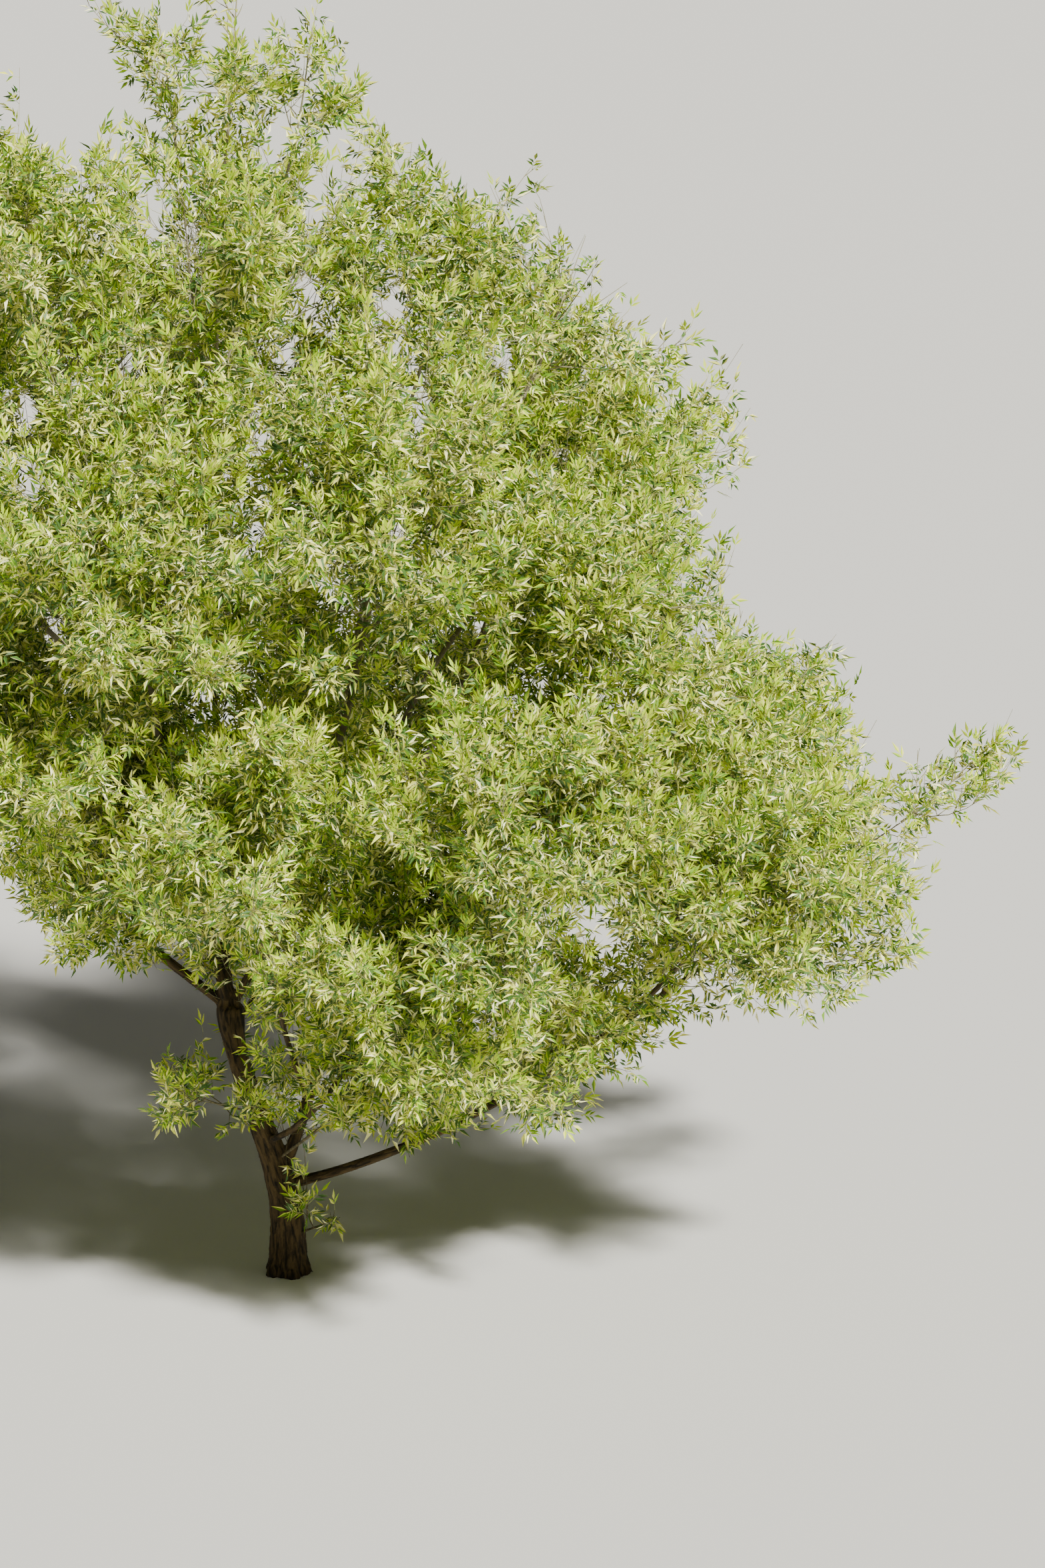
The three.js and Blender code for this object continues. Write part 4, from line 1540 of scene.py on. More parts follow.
def bark_pattern_group() -> NodeTree:
    """Builds the group of bark patterns that follow a limb: furrows, flecks and a pale bloom."""
    inputs = {"Furrow Scale": 60.0, "Furrow Stretch": 0.2, "Fleck Scale": 300.0, "Bloom Scale": 9.0}
    outputs = dict.fromkeys(("Ridge", "Fleck", "Bloom"), "NodeSocketFloat")
    graph = new_group("bark_pattern", "ShaderNodeTree", inputs, outputs)
    given = graph.add("NodeGroupInput").outputs
    place = graph.add("ShaderNodeAttribute", attribute_name="limb_place").outputs["Vector"]
    stretch = graph.add("ShaderNodeCombineXYZ", {0: 1.0, 1: 1.0, 2: given["Furrow Stretch"]}).outputs[0]
    along = graph.add("ShaderNodeVectorMath", {0: place, 1: stretch}, operation="MULTIPLY").outputs[0]
    furrows = graph.noise(along, given["Furrow Scale"], detail=4.0, distortion=0.6)
    ridge = graph.share(furrows, low=0.38, high=0.62)
    fleck = graph.noise(place, given["Fleck Scale"], detail=3.0)
    bloom = graph.noise(place, given["Bloom Scale"], detail=3.0)
    graph.add("NodeGroupOutput", {"Ridge": ridge, "Fleck": fleck, "Bloom": bloom})
    return graph.tree


@dataclass(frozen=True)
class BarkFinish:
    """The finish of bark, from dark furrowed wood to pale young limbs, with painted shade on slender limbs
    low in the crown.

    Attributes:
        name: Of the material.
        furrow: Colour deep in the furrows of old bark.
        ridge: Colour of the ridges of old bark.
        young: Colour of slender limbs.
        bloom: Colour of their pale patches.
        slender: Limb radius in metres under which bark is young.
        stout: Limb radius in metres from which bark is old.
        bump: Depth of the finest relief, in metres.
        low: Height in metres up to which slender limbs are as dark as the trunk, a painted shade low in the
            crown.
        high: Height from which they have their own colour, with no painted shade; between the two the painted
            shade fades.
        shade: Brightness of the darkest fleck, beside the colour.
        fleck_change: How much brighter the palest fleck is.
    """

    name: str
    furrow: int
    ridge: int
    young: int
    bloom: int
    slender: float
    stout: float
    bump: float
    low: float
    high: float
    shade: float = 0.62
    fleck_change: float = 0.7

    def material(self, group: NodeTree) -> Material:
        """Builds the material.

        Args:
            group: The shared group of bark patterns.

        Returns:
            The material.
        """
        material, graph = new_material(self.name)
        pattern = graph.add("ShaderNodeGroup", node_tree=group).outputs
        girth = graph.add("ShaderNodeAttribute", attribute_name="girth").outputs["Fac"]
        age = graph.share(girth, self.slender, self.stout)
        old = self.blend(graph, pattern["Ridge"], linear(self.furrow), linear(self.ridge))
        young = self.blend(graph, pattern["Bloom"], linear(self.young), linear(self.bloom))
        place = graph.add("ShaderNodeTexCoord").outputs["Object"]
        height = graph.add("ShaderNodeSeparateXYZ", {"Vector": place}).outputs["Z"]
        # Painted shade: below the low height slender limbs take the dark old bark, and only above the high
        # height their own pale colour, as if sunlit higher up.
        sunlit = self.blend(graph, graph.share(height, self.low, self.high), old, young)
        bark = self.blend(graph, age, sunlit, old)
        flecks = graph.maths("MULTIPLY", pattern["Fleck"], self.fleck_change)
        shade = graph.maths("ADD", flecks, self.shade)
        colour = graph.add("ShaderNodeHueSaturation", {"Color": bark, "Value": shade}).outputs["Color"]
        relief = graph.maths("ADD", pattern["Fleck"], graph.maths("MULTIPLY", pattern["Ridge"], age))
        bump = graph.add("ShaderNodeBump", {"Height": relief, "Distance": self.bump, "Strength": 0.8})
        surface = graph.add("ShaderNodeBsdfPrincipled", {"Roughness": 0.88, "Specular IOR Level": 0.25})
        graph.feed(surface.inputs["Base Color"], colour)
        graph.feed(surface.inputs["Normal"], bump.outputs["Normal"])
        graph.add("ShaderNodeOutputMaterial", {"Surface": surface.outputs[0]})
        return material

    @staticmethod
    def blend(graph: Graph, share: object, low: object, high: object) -> NodeSocket:
        """Returns a colour between two others."""
        mix = graph.add("ShaderNodeMix", {0: share, 6: low, 7: high}, data_type="RGBA")
        return mix.outputs[2]


LIMB_COLOURS = {"furrow": 0x1D180D, "ridge": 0x564629, "young": 0x77694F, "bloom": 0xAAA290}
TWIG_COLOURS = {"furrow": 0x2E2716, "ridge": 0x62573A, "young": 0x8A7F56, "bloom": 0xA7A587}
# low and high: heights between which the painted shade on slender limbs and twigs fades out upwards.
LIMB_SIZES = {"slender": 0.009, "stout": 0.026, "bump": 0.002, "low": 1.3, "high": 2.9}
TWIG_SIZES = {"slender": 0.002, "stout": 0.02, "bump": 0.0005, "low": 0.2, "high": 2.2}
LIMB_BARK = BarkFinish("limb_bark", **LIMB_COLOURS, **LIMB_SIZES)
TWIG_BARK = BarkFinish("twig_bark", **TWIG_COLOURS, **TWIG_SIZES)


# Geometry node trees


def set_inputs(modifier: NodesModifier, values: dict[str, object]) -> None:
    """Sets a modifier's inputs, each found by name and set by its socket's identifier."""
    for item in modifier.node_group.interface.items_tree:
        if item.item_type == "SOCKET" and item.in_out == "INPUT" and item.name in values:
            modifier[item.identifier] = values[item.name]


def grown_mesh(obj: Object, tree: NodeTree, values: dict[str, object]) -> None:
    """Runs a node tree on an object and keeps the result as its plain mesh.

    Args:
        obj: Whose mesh is the tree's input.
        tree: The node tree.
        values: The tree's other inputs, by name.
    """
    modifier = obj.modifiers.new("growth", "NODES")
    modifier.node_group = tree
    set_inputs(modifier, values)
    bpy.context.view_layer.update()
    evaluated = obj.evaluated_get(bpy.context.evaluated_depsgraph_get())
    mesh = bpy.data.meshes.new_from_object(evaluated)
    obj.modifiers.clear()
    old = obj.data
    obj.data = mesh
    mesh.name = obj.name
    bpy.data.meshes.remove(old)


def twig_sweep_tree(finish: Material) -> NodeTree:
    """Builds the tree that sweeps a ring along each path of edges, as thick as its girth says.

    Args:
        finish: The material of what it builds.

    Returns:
        The node tree.
    """
    inputs = {"Geometry": "NodeSocketGeometry", "Sides": 4, "Thickness": 1.0}
    graph = new_group("twig_sweep", "GeometryNodeTree", inputs, {"Geometry": "NodeSocketGeometry"})
    given = graph.add("NodeGroupInput").outputs
    path = graph.add("GeometryNodeMeshToCurve", {"Mesh": given["Geometry"]}).outputs[0]
    thickness = graph.maths("MULTIPLY", graph.attribute("girth", "FLOAT"), given["Thickness"])
    ring = graph.add("GeometryNodeCurvePrimitiveCircle", {"Resolution": given["Sides"], "Radius": 1.0})
    sweep = graph.add("GeometryNodeCurveToMesh", {"Curve": path, "Scale": thickness, "Fill Caps": True})
    graph.feed(sweep.inputs["Profile Curve"], ring.outputs["Curve"])
    graph.dress(sweep.outputs[0], finish)
    return graph.tree


def leaf_scatter_tree(finishes: list[Material]) -> NodeTree:
    """Builds the tree that stands a leaf of its kind on each point, and dresses it tone by tone.

    Args:
        finishes: A material for each tone.

    Returns:
        The node tree.
    """
    inputs = {"Geometry": "NodeSocketGeometry", "Leaf Kinds": "NodeSocketCollection", "Leaf Scale": 1.0}
    graph = new_group("leaf_scatter", "GeometryNodeTree", inputs, {"Geometry": "NodeSocketGeometry"})
    given = graph.add("NodeGroupInput").outputs
    kinds = graph.add("GeometryNodeCollectionInfo", {"Collection": given["Leaf Kinds"]})
    kinds.inputs["Separate Children"].default_value = True
    kept = {"kind": "INT", "turn": "QUATERNION", "leaf_size": "FLOAT", "tone": "INT"}
    read = {name: graph.attribute(name, data_type) for name, data_type in kept.items()}
    stand = graph.add("GeometryNodeInstanceOnPoints", {"Points": given["Geometry"], "Pick Instance": True})
    graph.feed(stand.inputs["Instance"], kinds.outputs[0])
    graph.feed(stand.inputs["Instance Index"], read["kind"])
    graph.feed(stand.inputs["Rotation"], read["turn"])
    graph.feed(stand.inputs["Scale"], graph.maths("MULTIPLY", read["leaf_size"], given["Leaf Scale"]))
    geometry = graph.add("GeometryNodeRealizeInstances", {"Geometry": stand.outputs[0]}).outputs[0]
    for number, finish in enumerate(finishes):
        same = {"data_type": "INT", "operation": "EQUAL"}
        chosen = graph.add("FunctionNodeCompare", {2: read["tone"], 3: number}, **same)
        dress = graph.add("GeometryNodeSetMaterial", {"Geometry": geometry, "Material": finish})
        graph.feed(dress.inputs["Selection"], chosen.outputs[0])
        geometry = dress.outputs[0]
    graph.add("NodeGroupOutput", {"Geometry": geometry})
    return graph.tree


def bark_relief_tree(finish: Material) -> NodeTree:
    """Builds the tree that raises the bark into ridges which follow each limb, and into low knobs.

    Args:
        finish: The material of what it builds.

    Returns:
        The node tree.
    """
    inputs = {
        "Geometry": "NodeSocketGeometry",
        "Depth": 0.05,
        "Ridge Scale": 42.0,
        "Ridge Stretch": 0.2,
        "Ridge Level": 0.6,
        "Knob Scale": 11.0,
        "Knob Height": 1.4,
    }
    graph = new_group("bark_relief", "GeometryNodeTree", inputs, {"Geometry": "NodeSocketGeometry"})
    given = graph.add("NodeGroupInput").outputs
    place = graph.attribute("limb_place", "FLOAT_VECTOR")
    stretch = graph.add("ShaderNodeCombineXYZ", {0: 1.0, 1: 1.0, 2: given["Ridge Stretch"]}).outputs[0]
    along = graph.add("ShaderNodeVectorMath", {0: place, 1: stretch}, operation="MULTIPLY").outputs[0]
    furrows = graph.noise(along, given["Ridge Scale"], detail=3.0, distortion=0.5)
    ridge = graph.share(furrows, low=0.36, high=0.64)
    knobs = graph.noise(place, given["Knob Scale"], detail=1.0)
    raised = graph.maths("SUBTRACT", ridge, given["Ridge Level"])
    about_zero = graph.maths("SUBTRACT", knobs, 0.5)
    uneven = graph.maths("MULTIPLY", about_zero, given["Knob Height"])
    height = graph.maths("MULTIPLY", graph.maths("ADD", raised, uneven), given["Depth"])
    outward = graph.add("GeometryNodeInputNormal").outputs[0]
    offset = graph.add("ShaderNodeVectorMath", {0: outward}, operation="SCALE")
    graph.feed(offset.inputs["Scale"], graph.maths("MULTIPLY", height, graph.attribute("girth", "FLOAT")))
    moved = graph.add("GeometryNodeSetPosition", {"Geometry": given["Geometry"], "Offset": offset.outputs[0]})
    graph.dress(moved.outputs[0], finish)
    return graph.tree


# Meshes


def new_object(name: str, vertices: list, edges: list, faces: list) -> Object:
    """Makes a mesh object at the origin.

    Args:
        name: Of the object and its mesh.
        vertices: In metres.
        edges: Pairs of vertex numbers.
        faces: Loops of vertex numbers.

    Returns:
        The object, linked to the scene.
    """
    mesh = bpy.data.meshes.new(name)
    mesh.from_pydata(vertices, edges, faces)
    obj = bpy.data.objects.new(name, mesh)
    bpy.context.scene.collection.objects.link(obj)
    return obj


def put_attribute(obj: Object, name: str, kind: str, field_name: str, values: np.ndarray) -> None:
    """Writes one value for each vertex."""
    attribute = obj.data.attributes.new(name, kind, "POINT")
    attribute.data.foreach_set(field_name, values.ravel())


def drop_attributes(obj: Object, names: Iterable[str]) -> None:
    """Removes attributes that the finished piece has no use for."""
    for name in names:
        attribute = obj.data.attributes.get(name)
        if attribute:
            obj.data.attributes.remove(attribute)


def finish_piece(obj: Object, nodes: Iterable[str]) -> None:
    """Hands a finished piece to the frame and reports it.

    Args:
        obj: The piece.
        nodes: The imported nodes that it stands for.
    """
    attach(obj, "root")
    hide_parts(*nodes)
    triangles = sum(len(p.vertices) - 2 for p in obj.data.polygons)
    LOG.info("%s: %d triangles", obj.name, triangles)


def leaflet(kind: LeafKind, root: Vector, angle: float, length: float, pattern: Pattern) -> tuple:
    """Builds one pointed leaflet, folded along its rib.

    Args:
        kind: Gives its proportions.
        root: Where it leaves the stalk, in millimetres.
        angle: Between it and the stalk, in radians.
        length: In millimetres.
        pattern: Its tones.

    Returns:
        Its corners, its triangles and their tones.
    """
    half = kind.half_width * length
    hang = kind.droop * length
    rows = [(0, 0, 0), (1, 0, -1), (kind.widest, 1, kind.fold), (kind.widest, -1, kind.fold)]
    turn = Matrix.Rotation(angle, 3, "Z")
    corners = [root + turn @ Vector((x * length, y * half, z * hang)) for x, y, z in rows]
    return corners, [(0, 1, 2), (0, 3, 1)], [tone.value for tone in pattern.value]


def leaf_model(name: str, kind: LeafKind) -> Object:
    """Builds one compound leaf along +X with its stalk, facing +Z, with its tones as a face attribute.

    Args:
        name: Of the model.
        kind: The kind of leaf.

    Returns:
        The model's object.
    """
    pairs = len(kind.patterns) // 2
    petiole = kind.petiole * kind.length
    step = kind.pair_step * kind.length
    spread = math.radians(kind.spread)
    places = [(petiole + step * pairs, 0.0, kind.length)]
    for pair in range(pairs):
        for side in (-1, 1):
            length = kind.length * (kind.side_share - kind.side_loss * pair)
            places.append((petiole + step * pair, side * spread, length))
    end = places[0][0]
    stalk = kind.stalk_half_width
    corners = [Vector((0, stalk, 0)), Vector((0, -stalk, 0)), Vector((end, 0, 0))]
    faces = [(0, 1, 2)]
    tones = [Tone.STALK.value] * len(faces)
    for (x, angle, length), pattern in zip(places, kind.patterns):
        more, triangles, colours = leaflet(kind, Vector((x, 0, kind.lift)), angle, length, pattern)
        base = len(corners)
        corners += more
        faces += [tuple(base + i for i in triangle) for triangle in triangles]
        tones += colours
    obj = new_object(name, [p * MM for p in corners], [], faces)
    attribute = obj.data.attributes.new("tone", "INT", "FACE")
    attribute.data.foreach_set("value", tones)
    return obj


@dataclass
class LeafKinds:
    """The models of the kinds of leaf, kept in a collection of their own while the crown grows."""

    collection: Collection | None = None

    def build(self) -> Collection:
        """Builds a model for each kind and returns their collection."""
        self.collection = bpy.data.collections.new("leaf_kinds")
        for number, kind in enumerate(KINDS):
            obj = leaf_model(f"leaf_kind_{number:02d}", kind)
            bpy.context.scene.collection.objects.unlink(obj)
            self.collection.objects.link(obj)
        return self.collection

    def remove(self) -> None:
        """Removes the models once every leaf has its own mesh."""
        for obj in list(self.collection.objects):
            bpy.data.meshes.remove(obj.data)
        bpy.data.collections.remove(self.collection)


@dataclass
class Bark:
    """The trunk and boughs as meshes with relief.

    Attributes:
        boughs: The limbs.
        voxel: Grain of the mesh in which the trunk and the main boughs grow together, in metres.
        rounding: How often that mesh is smoothed, which rounds the forks.
        depth: Of the relief, as a share of a limb's radius.
        ridge_scale: Of the ridges, in ridges for each metre round a limb.
        ridge_stretch: How dense they are along a limb beside that.
        pattern_shift: Between the patterns of two limbs, in millimetres.
        block: Vertices for which the nearest limb is looked up at a time.
    """

    boughs: Boughs
    voxel: float = 0.0084
    rounding: int = 6
    depth: float = 0.085
    ridge_scale: float = 42.0
    ridge_stretch: float = 0.2
    pattern_shift: float = 1000.0
    block: int = 2048

    def tube(self, limb: Limb, shape: Trunk | None = None) -> tuple[list, list]:
        """Builds one limb as a closed tube.

        Args:
            limb: Its axis and radii.
            shape: The trunk, whose rings are level and lobed at the foot. None for a bough.

        Returns:
            Its corners in metres, and its faces.
        """
        corners, faces = [], []
        n = limb.sides
        for k, (point, side, across) in enumerate(limb.frames()):
            if shape:
                side, across = Vector((1, 0, 0)), Vector((0, 1, 0))
            for i in range(n):
                angle = 2 * math.pi * i / n
                r = limb.radii[k] * (shape.lobes(angle, point.z) if shape else 1)
                corners.append((point + (side * math.cos(angle) + across * math.sin(angle)) * r) * MM)
        rings = len(limb.points)
        for k in range(rings - 1):
            for i in range(n):
                j = (i + 1) % n
                faces.append((k * n + i, k * n + j, (k + 1) * n + j, (k + 1) * n + i))
        faces.append(tuple(reversed(range(n))))
        faces.append(tuple(range((rings - 1) * n, rings * n)))
        return corners, faces

    def joined(self, name: str, limbs: dict[str, Limb]) -> Object:
        """Builds several limbs as one object."""
        corners, faces = [], []
        for limb_name, limb in limbs.items():
            more, loops = self.tube(limb, self.boughs.trunk if limb_name == "trunk" else None)
            base = len(corners)
            corners += more
            faces += [tuple(base + i for i in loop) for loop in loops]
        return new_object(name, corners, [], faces)

    def grow_together(self, obj: Object) -> None:
        """Makes overlapping limbs one skin, and rounds their forks.

        Args:
            obj: The object with their tubes.
        """
        remesh = obj.modifiers.new("skin", "REMESH")
        remesh.mode = "VOXEL"
        remesh.voxel_size = self.voxel
        smooth = obj.modifiers.new("rounding", "SMOOTH")
        smooth.iterations = self.rounding
        evaluated = obj.evaluated_get(bpy.context.evaluated_depsgraph_get())
        mesh = bpy.data.meshes.new_from_object(evaluated)
        obj.modifiers.clear()
        obj.data = mesh

    def axis_rows(self, limbs: Iterable[Limb]) -> list[np.ndarray]:
        """Lists the points of several limbs' axes.

        Args:
            limbs: The limbs.

        Returns:
            Places, the two directions square to the axis, radii, and lengths up to there, in metres.
        """
        rows = []
        for number, limb in enumerate(limbs):
            along = self.pattern_shift * number
            for k, (point, side, across) in enumerate(limb.frames()):
                along += (point - limb.points[k - 1]).length if k else 0
                rows.append((point, side, across, limb.radii[k], along))
        centres, sides, acrosses, radii, lengths = (np.array(column) for column in zip(*rows))
        return [centres * MM, sides, acrosses, radii * MM, lengths * MM]

    def nearest_points(self, corners: np.ndarray, centres: np.ndarray, radii: np.ndarray) -> np.ndarray:
        """Finds for each corner the axis point whose bark it is nearest to.

        Args:
            corners: A mesh's corners.
            centres: The axis points.
            radii: The limb's at each of them.

        Returns:
            The axis points' numbers.
        """
        nearest = np.empty(len(corners), int)
        for start in range(0, len(corners), self.block):
            part = corners[start : start + self.block]
            gaps = np.linalg.norm(part[:, None] - centres[None], axis=2) - radii
            nearest[start : start + self.block] = gaps.argmin(axis=1)
        return nearest

    def mark_places(self, obj: Object, limbs: Iterable[Limb]) -> None:
        """Gives each vertex its place along and round the nearest limb, and that limb's girth there.

        Args:
            obj: The object.
            limbs: Those that it is made of.
        """
        centres, sides, acrosses, radii, lengths = self.axis_rows(limbs)
        corners = np.empty(len(obj.data.vertices) * 3, np.float32)
        obj.data.vertices.foreach_get("co", corners)
        corners = corners.reshape(-1, 3)
        nearest = self.nearest_points(corners, centres, radii)
        out = corners - centres[nearest]
        place = [(out * sides[nearest]).sum(1), (out * acrosses[nearest]).sum(1), lengths[nearest]]
        put_attribute(obj, "limb_place", "FLOAT_VECTOR", "vector", np.stack(place, 1).astype(np.float32))
        put_attribute(obj, "girth", "FLOAT", "value", radii[nearest].astype(np.float32))

    def keep_above_ground(self, obj: Object) -> None:
        """Lifts what the relief has pushed under the flat cut back to it."""
        for vertex in obj.data.vertices:
            vertex.co.z = max(vertex.co.z, 0.0)

    def build(self, finish: Material) -> None:
        """Builds the trunk with its main boughs, and the side boughs.

        Args:
            finish: The bark material.
        """
        relief = bark_relief_tree(finish)
        sizes = {"Depth": self.depth, "Ridge Scale": self.ridge_scale, "Ridge Stretch": self.ridge_stretch}
        main = {"trunk": self.boughs.trunk.limb()}
        side = {}
        for mass in MASSES:
            if mass.name in self.boughs.limbs:
                group = main if mass.carrier == "trunk" else side
                group[mass.name] = self.boughs.limbs[mass.name]
        for name, limbs in (("bark_trunk_and_main_boughs", main), ("bark_side_boughs", side)):
            obj = self.joined(name, limbs)
            if limbs is main:
                self.grow_together(obj)
            self.mark_places(obj, limbs.values())
            grown_mesh(obj, relief, sizes)
            self.keep_above_ground(obj)
            nodes = ["trunk" if limb == "trunk" else f"bough_{limb}" for limb in limbs]
            finish_piece(obj, nodes)


@dataclass
class Family:
    """The foliage on one main bough: every mass that it carries.

    Attributes:
        name: Of the main bough, or of a mass on the trunk.
        masses: The names of its masses.
        twigs: All its twigs.
        leaves: All its leaves.
        stout: Root radius in millimetres from which a twig counts as a stem.
        stem_sides: Corners of a stem's ring.
        twig_sides: Corners of a finer twig's ring.
    """

    name: str
    masses: list[str]
    twigs: list[Twig] = field(default_factory=list)
    leaves: list[LeafPlace] = field(default_factory=list)
    stout: float = 3.0
    stem_sides: int = 6
    twig_sides: int = 3

    def nodes(self) -> list[str]:
        """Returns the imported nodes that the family's pieces stand for."""
        return [f"foliage_{name}" for name in self.masses]

    def build_twigs(self, tree: NodeTree) -> None:
        """Builds its stems as one piece and its finer twigs as another.

        Args:
            tree: The tree that sweeps a ring along them.
        """
        stems = [twig for twig in self.twigs if twig.radii[0] >= self.stout]
        fine = [twig for twig in self.twigs if twig.radii[0] < self.stout]
        self.sweep(f"stems_{self.name}", stems, tree, self.stem_sides)
        self.sweep(f"twigs_{self.name}", fine, tree, self.twig_sides)

    def sweep(self, name: str, twigs: list[Twig], tree: NodeTree, sides: int) -> None:
        """Builds some twigs as one piece.

        Args:
            name: Of the piece.
            twigs: All of them.
            tree: The tree that sweeps a ring along them.
            sides: Of the ring.
        """
        corners, edges, girths = [], [], []
        for twig in twigs:
            base = len(corners)
            corners += [p * MM for p in twig.points]
            girths += [r * MM for r in twig.radii]
            edges += [(base + k, base + k + 1) for k in range(len(twig.points) - 1)]
        obj = new_object(name, corners, edges, [])
        put_attribute(obj, "girth", "FLOAT", "value", np.array(girths, np.float32))
        places = np.array([tuple(c) for c in corners], np.float32)
        put_attribute(obj, "limb_place", "FLOAT_VECTOR", "vector", places)
        grown_mesh(obj, tree, {"Sides": sides, "Thickness": 1.0})
        finish_piece(obj, self.nodes())

    def build_leaves(self, tree: NodeTree, kinds: Collection, most: int) -> None:
        """Builds its leaves in pieces of limited size.

        Args:
            tree: The tree that stands leaves on points.
            kinds: The models of the kinds of leaf.
            most: Leaves in one piece at most.
        """
        pieces = math.ceil(len(self.leaves) / most)
        size = math.ceil(len(self.leaves) / pieces)
        for number in range(pieces):
            part = self.leaves[number * size : (number + 1) * size]
            obj = new_object(f"leaves_{self.name}_{number + 1}", [leaf.root * MM for leaf in part], [], [])
            turns = np.array([tuple(leaf.turn) for leaf in part], np.float32)
            sizes = np.array([leaf.size for leaf in part], np.float32)
            kind_numbers = np.array([leaf.kind for leaf in part], np.int32)
            put_attribute(obj, "turn", "QUATERNION", "value", turns)
            put_attribute(obj, "leaf_size", "FLOAT", "value", sizes)
            put_attribute(obj, "kind", "INT", "value", kind_numbers)
            grown_mesh(obj, tree, {"Leaf Kinds": kinds, "Leaf Scale": 1.0})
            drop_attributes(obj, ("turn", "leaf_size", "kind", "tone"))
            finish_piece(obj, self.nodes())


@dataclass
class Crown:
    """All the foliage, grown mass by mass and built family by family.

    Attributes:
        boughs: What it grows on.
        limits: Lowest and highest corner, in millimetres, of the box that no leaf leaves.
        leaves_in_piece: Most leaves in one piece.
    """

    boughs: Boughs
    limits: tuple[Vector, Vector]
    leaves_in_piece: int = 15000

    def family_name(self, mass: Mass) -> str:
        """Returns the name of the main bough that a mass belongs to."""
        while mass.carrier != "trunk":
            mass = next(m for m in MASSES if m.name == mass.carrier)
        return mass.name

    def grown(self, mass: Mass, index: int) -> Growth:
        """Grows a mass from its bough's tip, with the shoots of that bough, or from the trunk.

        Args:
            mass: The mass.
            index: Its place in the list of masses.

        Returns:
            What has grown.
        """
        bough = self.boughs.limbs.get(mass.name)
        if bough:
            growth = Growth(mass, index, bough.points[-1].copy(), bough.arrival.copy(), self.limits)
            growth.grow()
            growth.grow_shoots(bough)
            return growth
        root = self.boughs.trunk.point_at(mass.at)
        direction = (mass.middle - root).normalized()
        start = mass.middle - direction * ENTRY * mass.rim_distance(direction)
        growth = Growth(mass, index, start, direction, self.limits, [root])
        growth.grow()
        return growth

    def grow(self) -> list[Family]:
        """Grows every mass and returns them by family."""
        families: dict[str, Family] = {}
        for index, mass in enumerate(MASSES):
            growth = self.grown(mass, index)
            name = self.family_name(mass)
            family = families.setdefault(name, Family(name, []))
            family.masses.append(mass.name)
            family.twigs += growth.twigs
            family.leaves += growth.leaves
            LOG.info("%s: %d twigs, %d leaves", mass.name, len(growth.twigs), len(growth.leaves))
        LOG.info("leaves in all: %d", sum(len(family.leaves) for family in families.values()))
        return list(families.values())

    def build(self, leaf_finishes: list[Material], twig_finish: Material) -> None:
        """Grows and builds every family.

        Args:
            leaf_finishes: One for each tone.
            twig_finish: For all twigs.
        """
        families = self.grow()
        kinds = LeafKinds()
        models = kinds.build()
        sweep = twig_sweep_tree(twig_finish)
        scatter = leaf_scatter_tree(leaf_finishes)
        for family in families:
            family.build_twigs(sweep)
            family.build_leaves(scatter, models, self.leaves_in_piece)
        kinds.remove()


# Studio


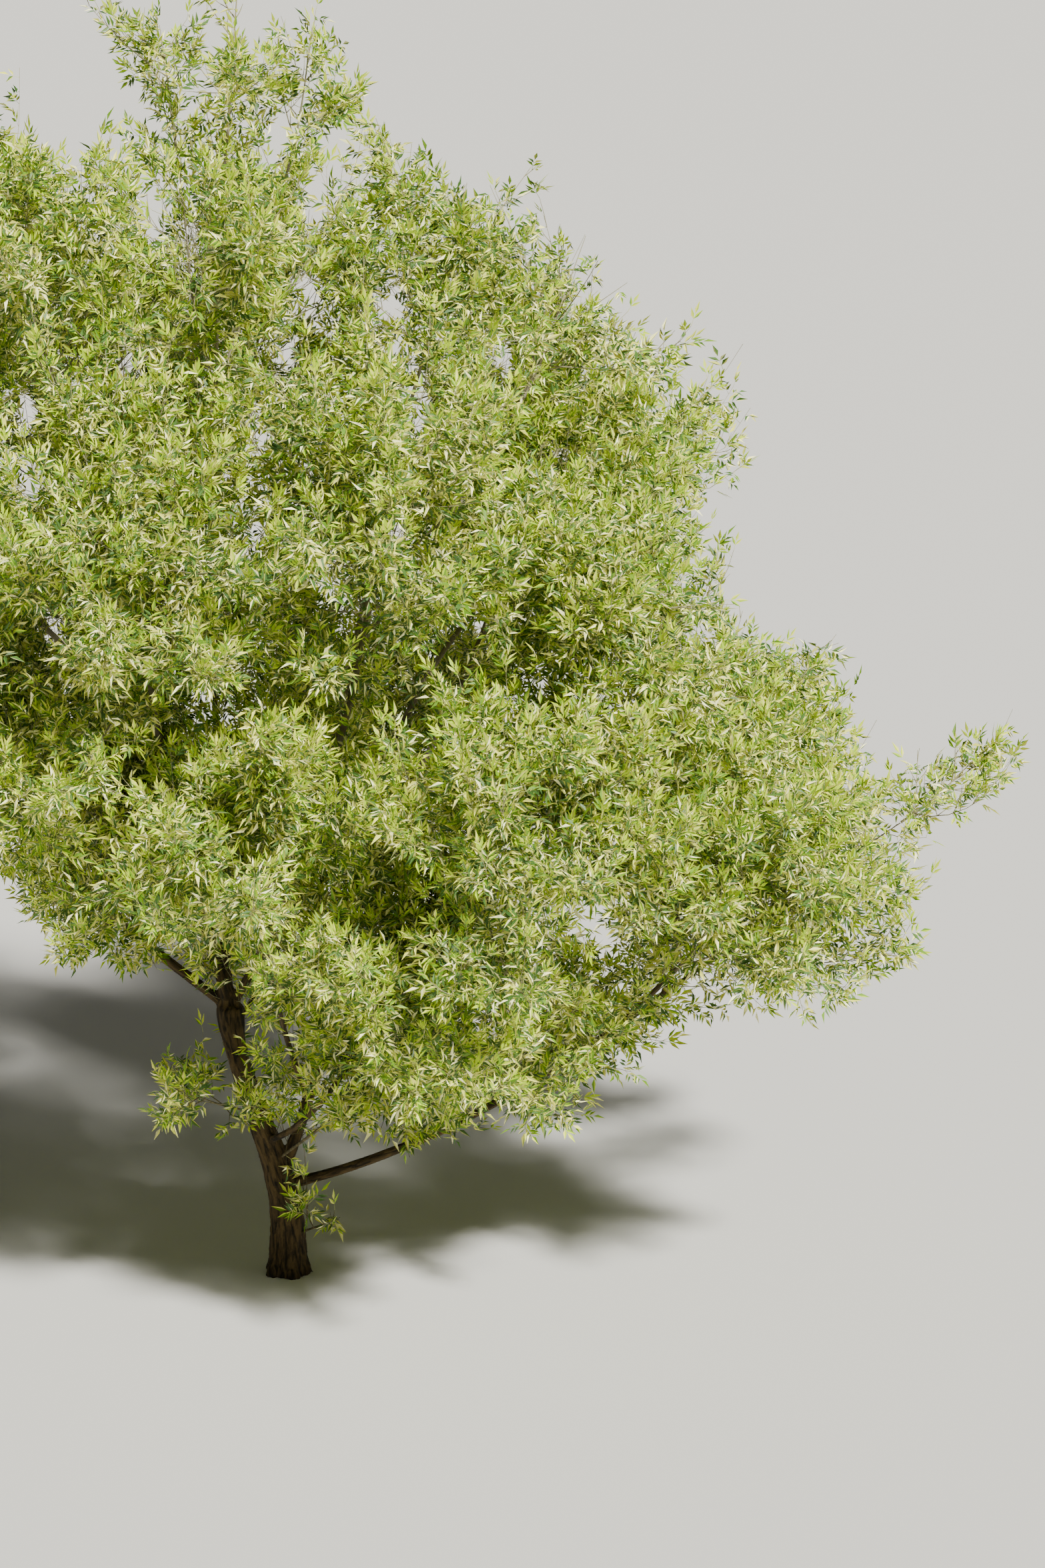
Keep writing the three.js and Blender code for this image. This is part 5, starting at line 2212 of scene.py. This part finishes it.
@dataclass
class Studio:
    """The pale floor, the soft lights and the camera at the photograph's viewing angle.

    Attributes:
        floor_size: Length of its sides, in metres.
        sun_place: From where the sun shines at the origin.
        sun_softness: How wide the sun is, in degrees.
        sensor: The camera's width, in millimetres.
        far: How far the camera sees, in metres.
    """

    view: View = VIEW
    floor_colour: int = 0xC9C7C1
    floor_size: float = 600.0
    floor_roughness: float = 0.9
    sky_colour: tuple[float, float, float, float] = (1.0, 1.0, 0.97, 1.0)
    sky_strength: float = 0.13
    sun_place: tuple[float, float, float] = (3.6, -6.4, 7.2)
    sun_strength: float = 9.5
    sun_softness: float = 6.0
    sun_colour: tuple[float, float, float] = (1.0, 0.99, 0.95)
    sensor: float = 36
    far: float = 200

    def build_floor(self) -> None:
        """Lays the floor under the flat cut."""
        half = self.floor_size / 2
        corners = [(-half, -half, 0), (half, -half, 0), (half, half, 0), (-half, half, 0)]
        floor = new_object("floor", corners, [], [(0, 1, 2, 3)])
        material = bpy.data.materials.new("floor_paper")
        material.use_nodes = True
        surface = material.node_tree.nodes["Principled BSDF"]
        surface.inputs["Base Color"].default_value = linear(self.floor_colour)
        surface.inputs["Roughness"].default_value = self.floor_roughness
        floor.data.materials.append(material)
        floor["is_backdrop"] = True

    def build_lights(self) -> None:
        """Sets an even sky, and one soft light as from a high sun over the viewer's right shoulder."""
        world = bpy.data.worlds.new("soft_sky")
        world.use_nodes = True
        background = world.node_tree.nodes["Background"]
        background.inputs["Color"].default_value = self.sky_colour
        background.inputs["Strength"].default_value = self.sky_strength
        bpy.context.scene.world = world
        light = bpy.data.lights.new("high_sun", "SUN")
        light.energy = self.sun_strength
        light.color = self.sun_colour
        light.angle = math.radians(self.sun_softness)
        sun = bpy.data.objects.new("high_sun", light)
        sun.location = self.sun_place
        sun.rotation_euler = (-Vector(self.sun_place)).to_track_quat("-Z", "Y").to_euler()
        bpy.context.scene.collection.objects.link(sun)

    def build_camera(self) -> None:
        """Places the camera so that the trunk's foot lands on its pixel of the photograph."""
        data = bpy.data.cameras.new("camera")
        data.sensor_width = self.sensor
        data.lens = self.sensor * self.view.distance / (self.view.image[1] * self.view.scale)
        data.clip_end = self.far
        camera = bpy.data.objects.new("camera", data)
        camera.location = self.view.place()
        camera.rotation_euler = self.view.ahead().to_track_quat("-Z", "Y").to_euler()
        bpy.context.scene.collection.objects.link(camera)
        bpy.context.scene.camera = camera

    def build(self) -> None:
        """Sets up the whole studio."""
        self.build_floor()
        self.build_lights()
        self.build_camera()


def grown_box(box: list[list[float]], share: float) -> tuple[Vector, Vector]:
    """Returns a box in millimetres, grown on every side by a share of its lengths.

    Args:
        box: Lowest and highest corner, in metres.
        share: Of each length.

    Returns:
        Its lowest and highest corner.
    """
    low, high = (Vector(corner) / MM for corner in box)
    room = (high - low) * share
    return low - room, high + room


def corners_as_lists(box: tuple[Vector, Vector]) -> list[list[float]]:
    """Returns a box's two corners as plain lists."""
    return [list(corner) for corner in box]


def main() -> None:
    """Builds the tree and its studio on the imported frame."""
    leafy_margin = 0.014
    logging.basicConfig(level=logging.INFO, format="%(name)s: %(message)s")
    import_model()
    packed = corners_as_lists(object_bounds())
    for mass in MASSES:
        mass.find_neighbours(MASSES)
    boughs = Boughs()
    boughs.build()
    bark = bark_pattern_group()
    tint = leaf_tint_group()
    Studio().build()
    Bark(boughs).build(LIMB_BARK.material(bark))
    finishes = [LEAF_FINISHES[tone].material(tint) for tone in Tone]
    Crown(boughs, grown_box(packed, leafy_margin)).build(finishes, TWIG_BARK.material(bark))
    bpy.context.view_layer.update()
    LOG.info("packed box %s", packed)


if __name__ == "__main__":
    main()
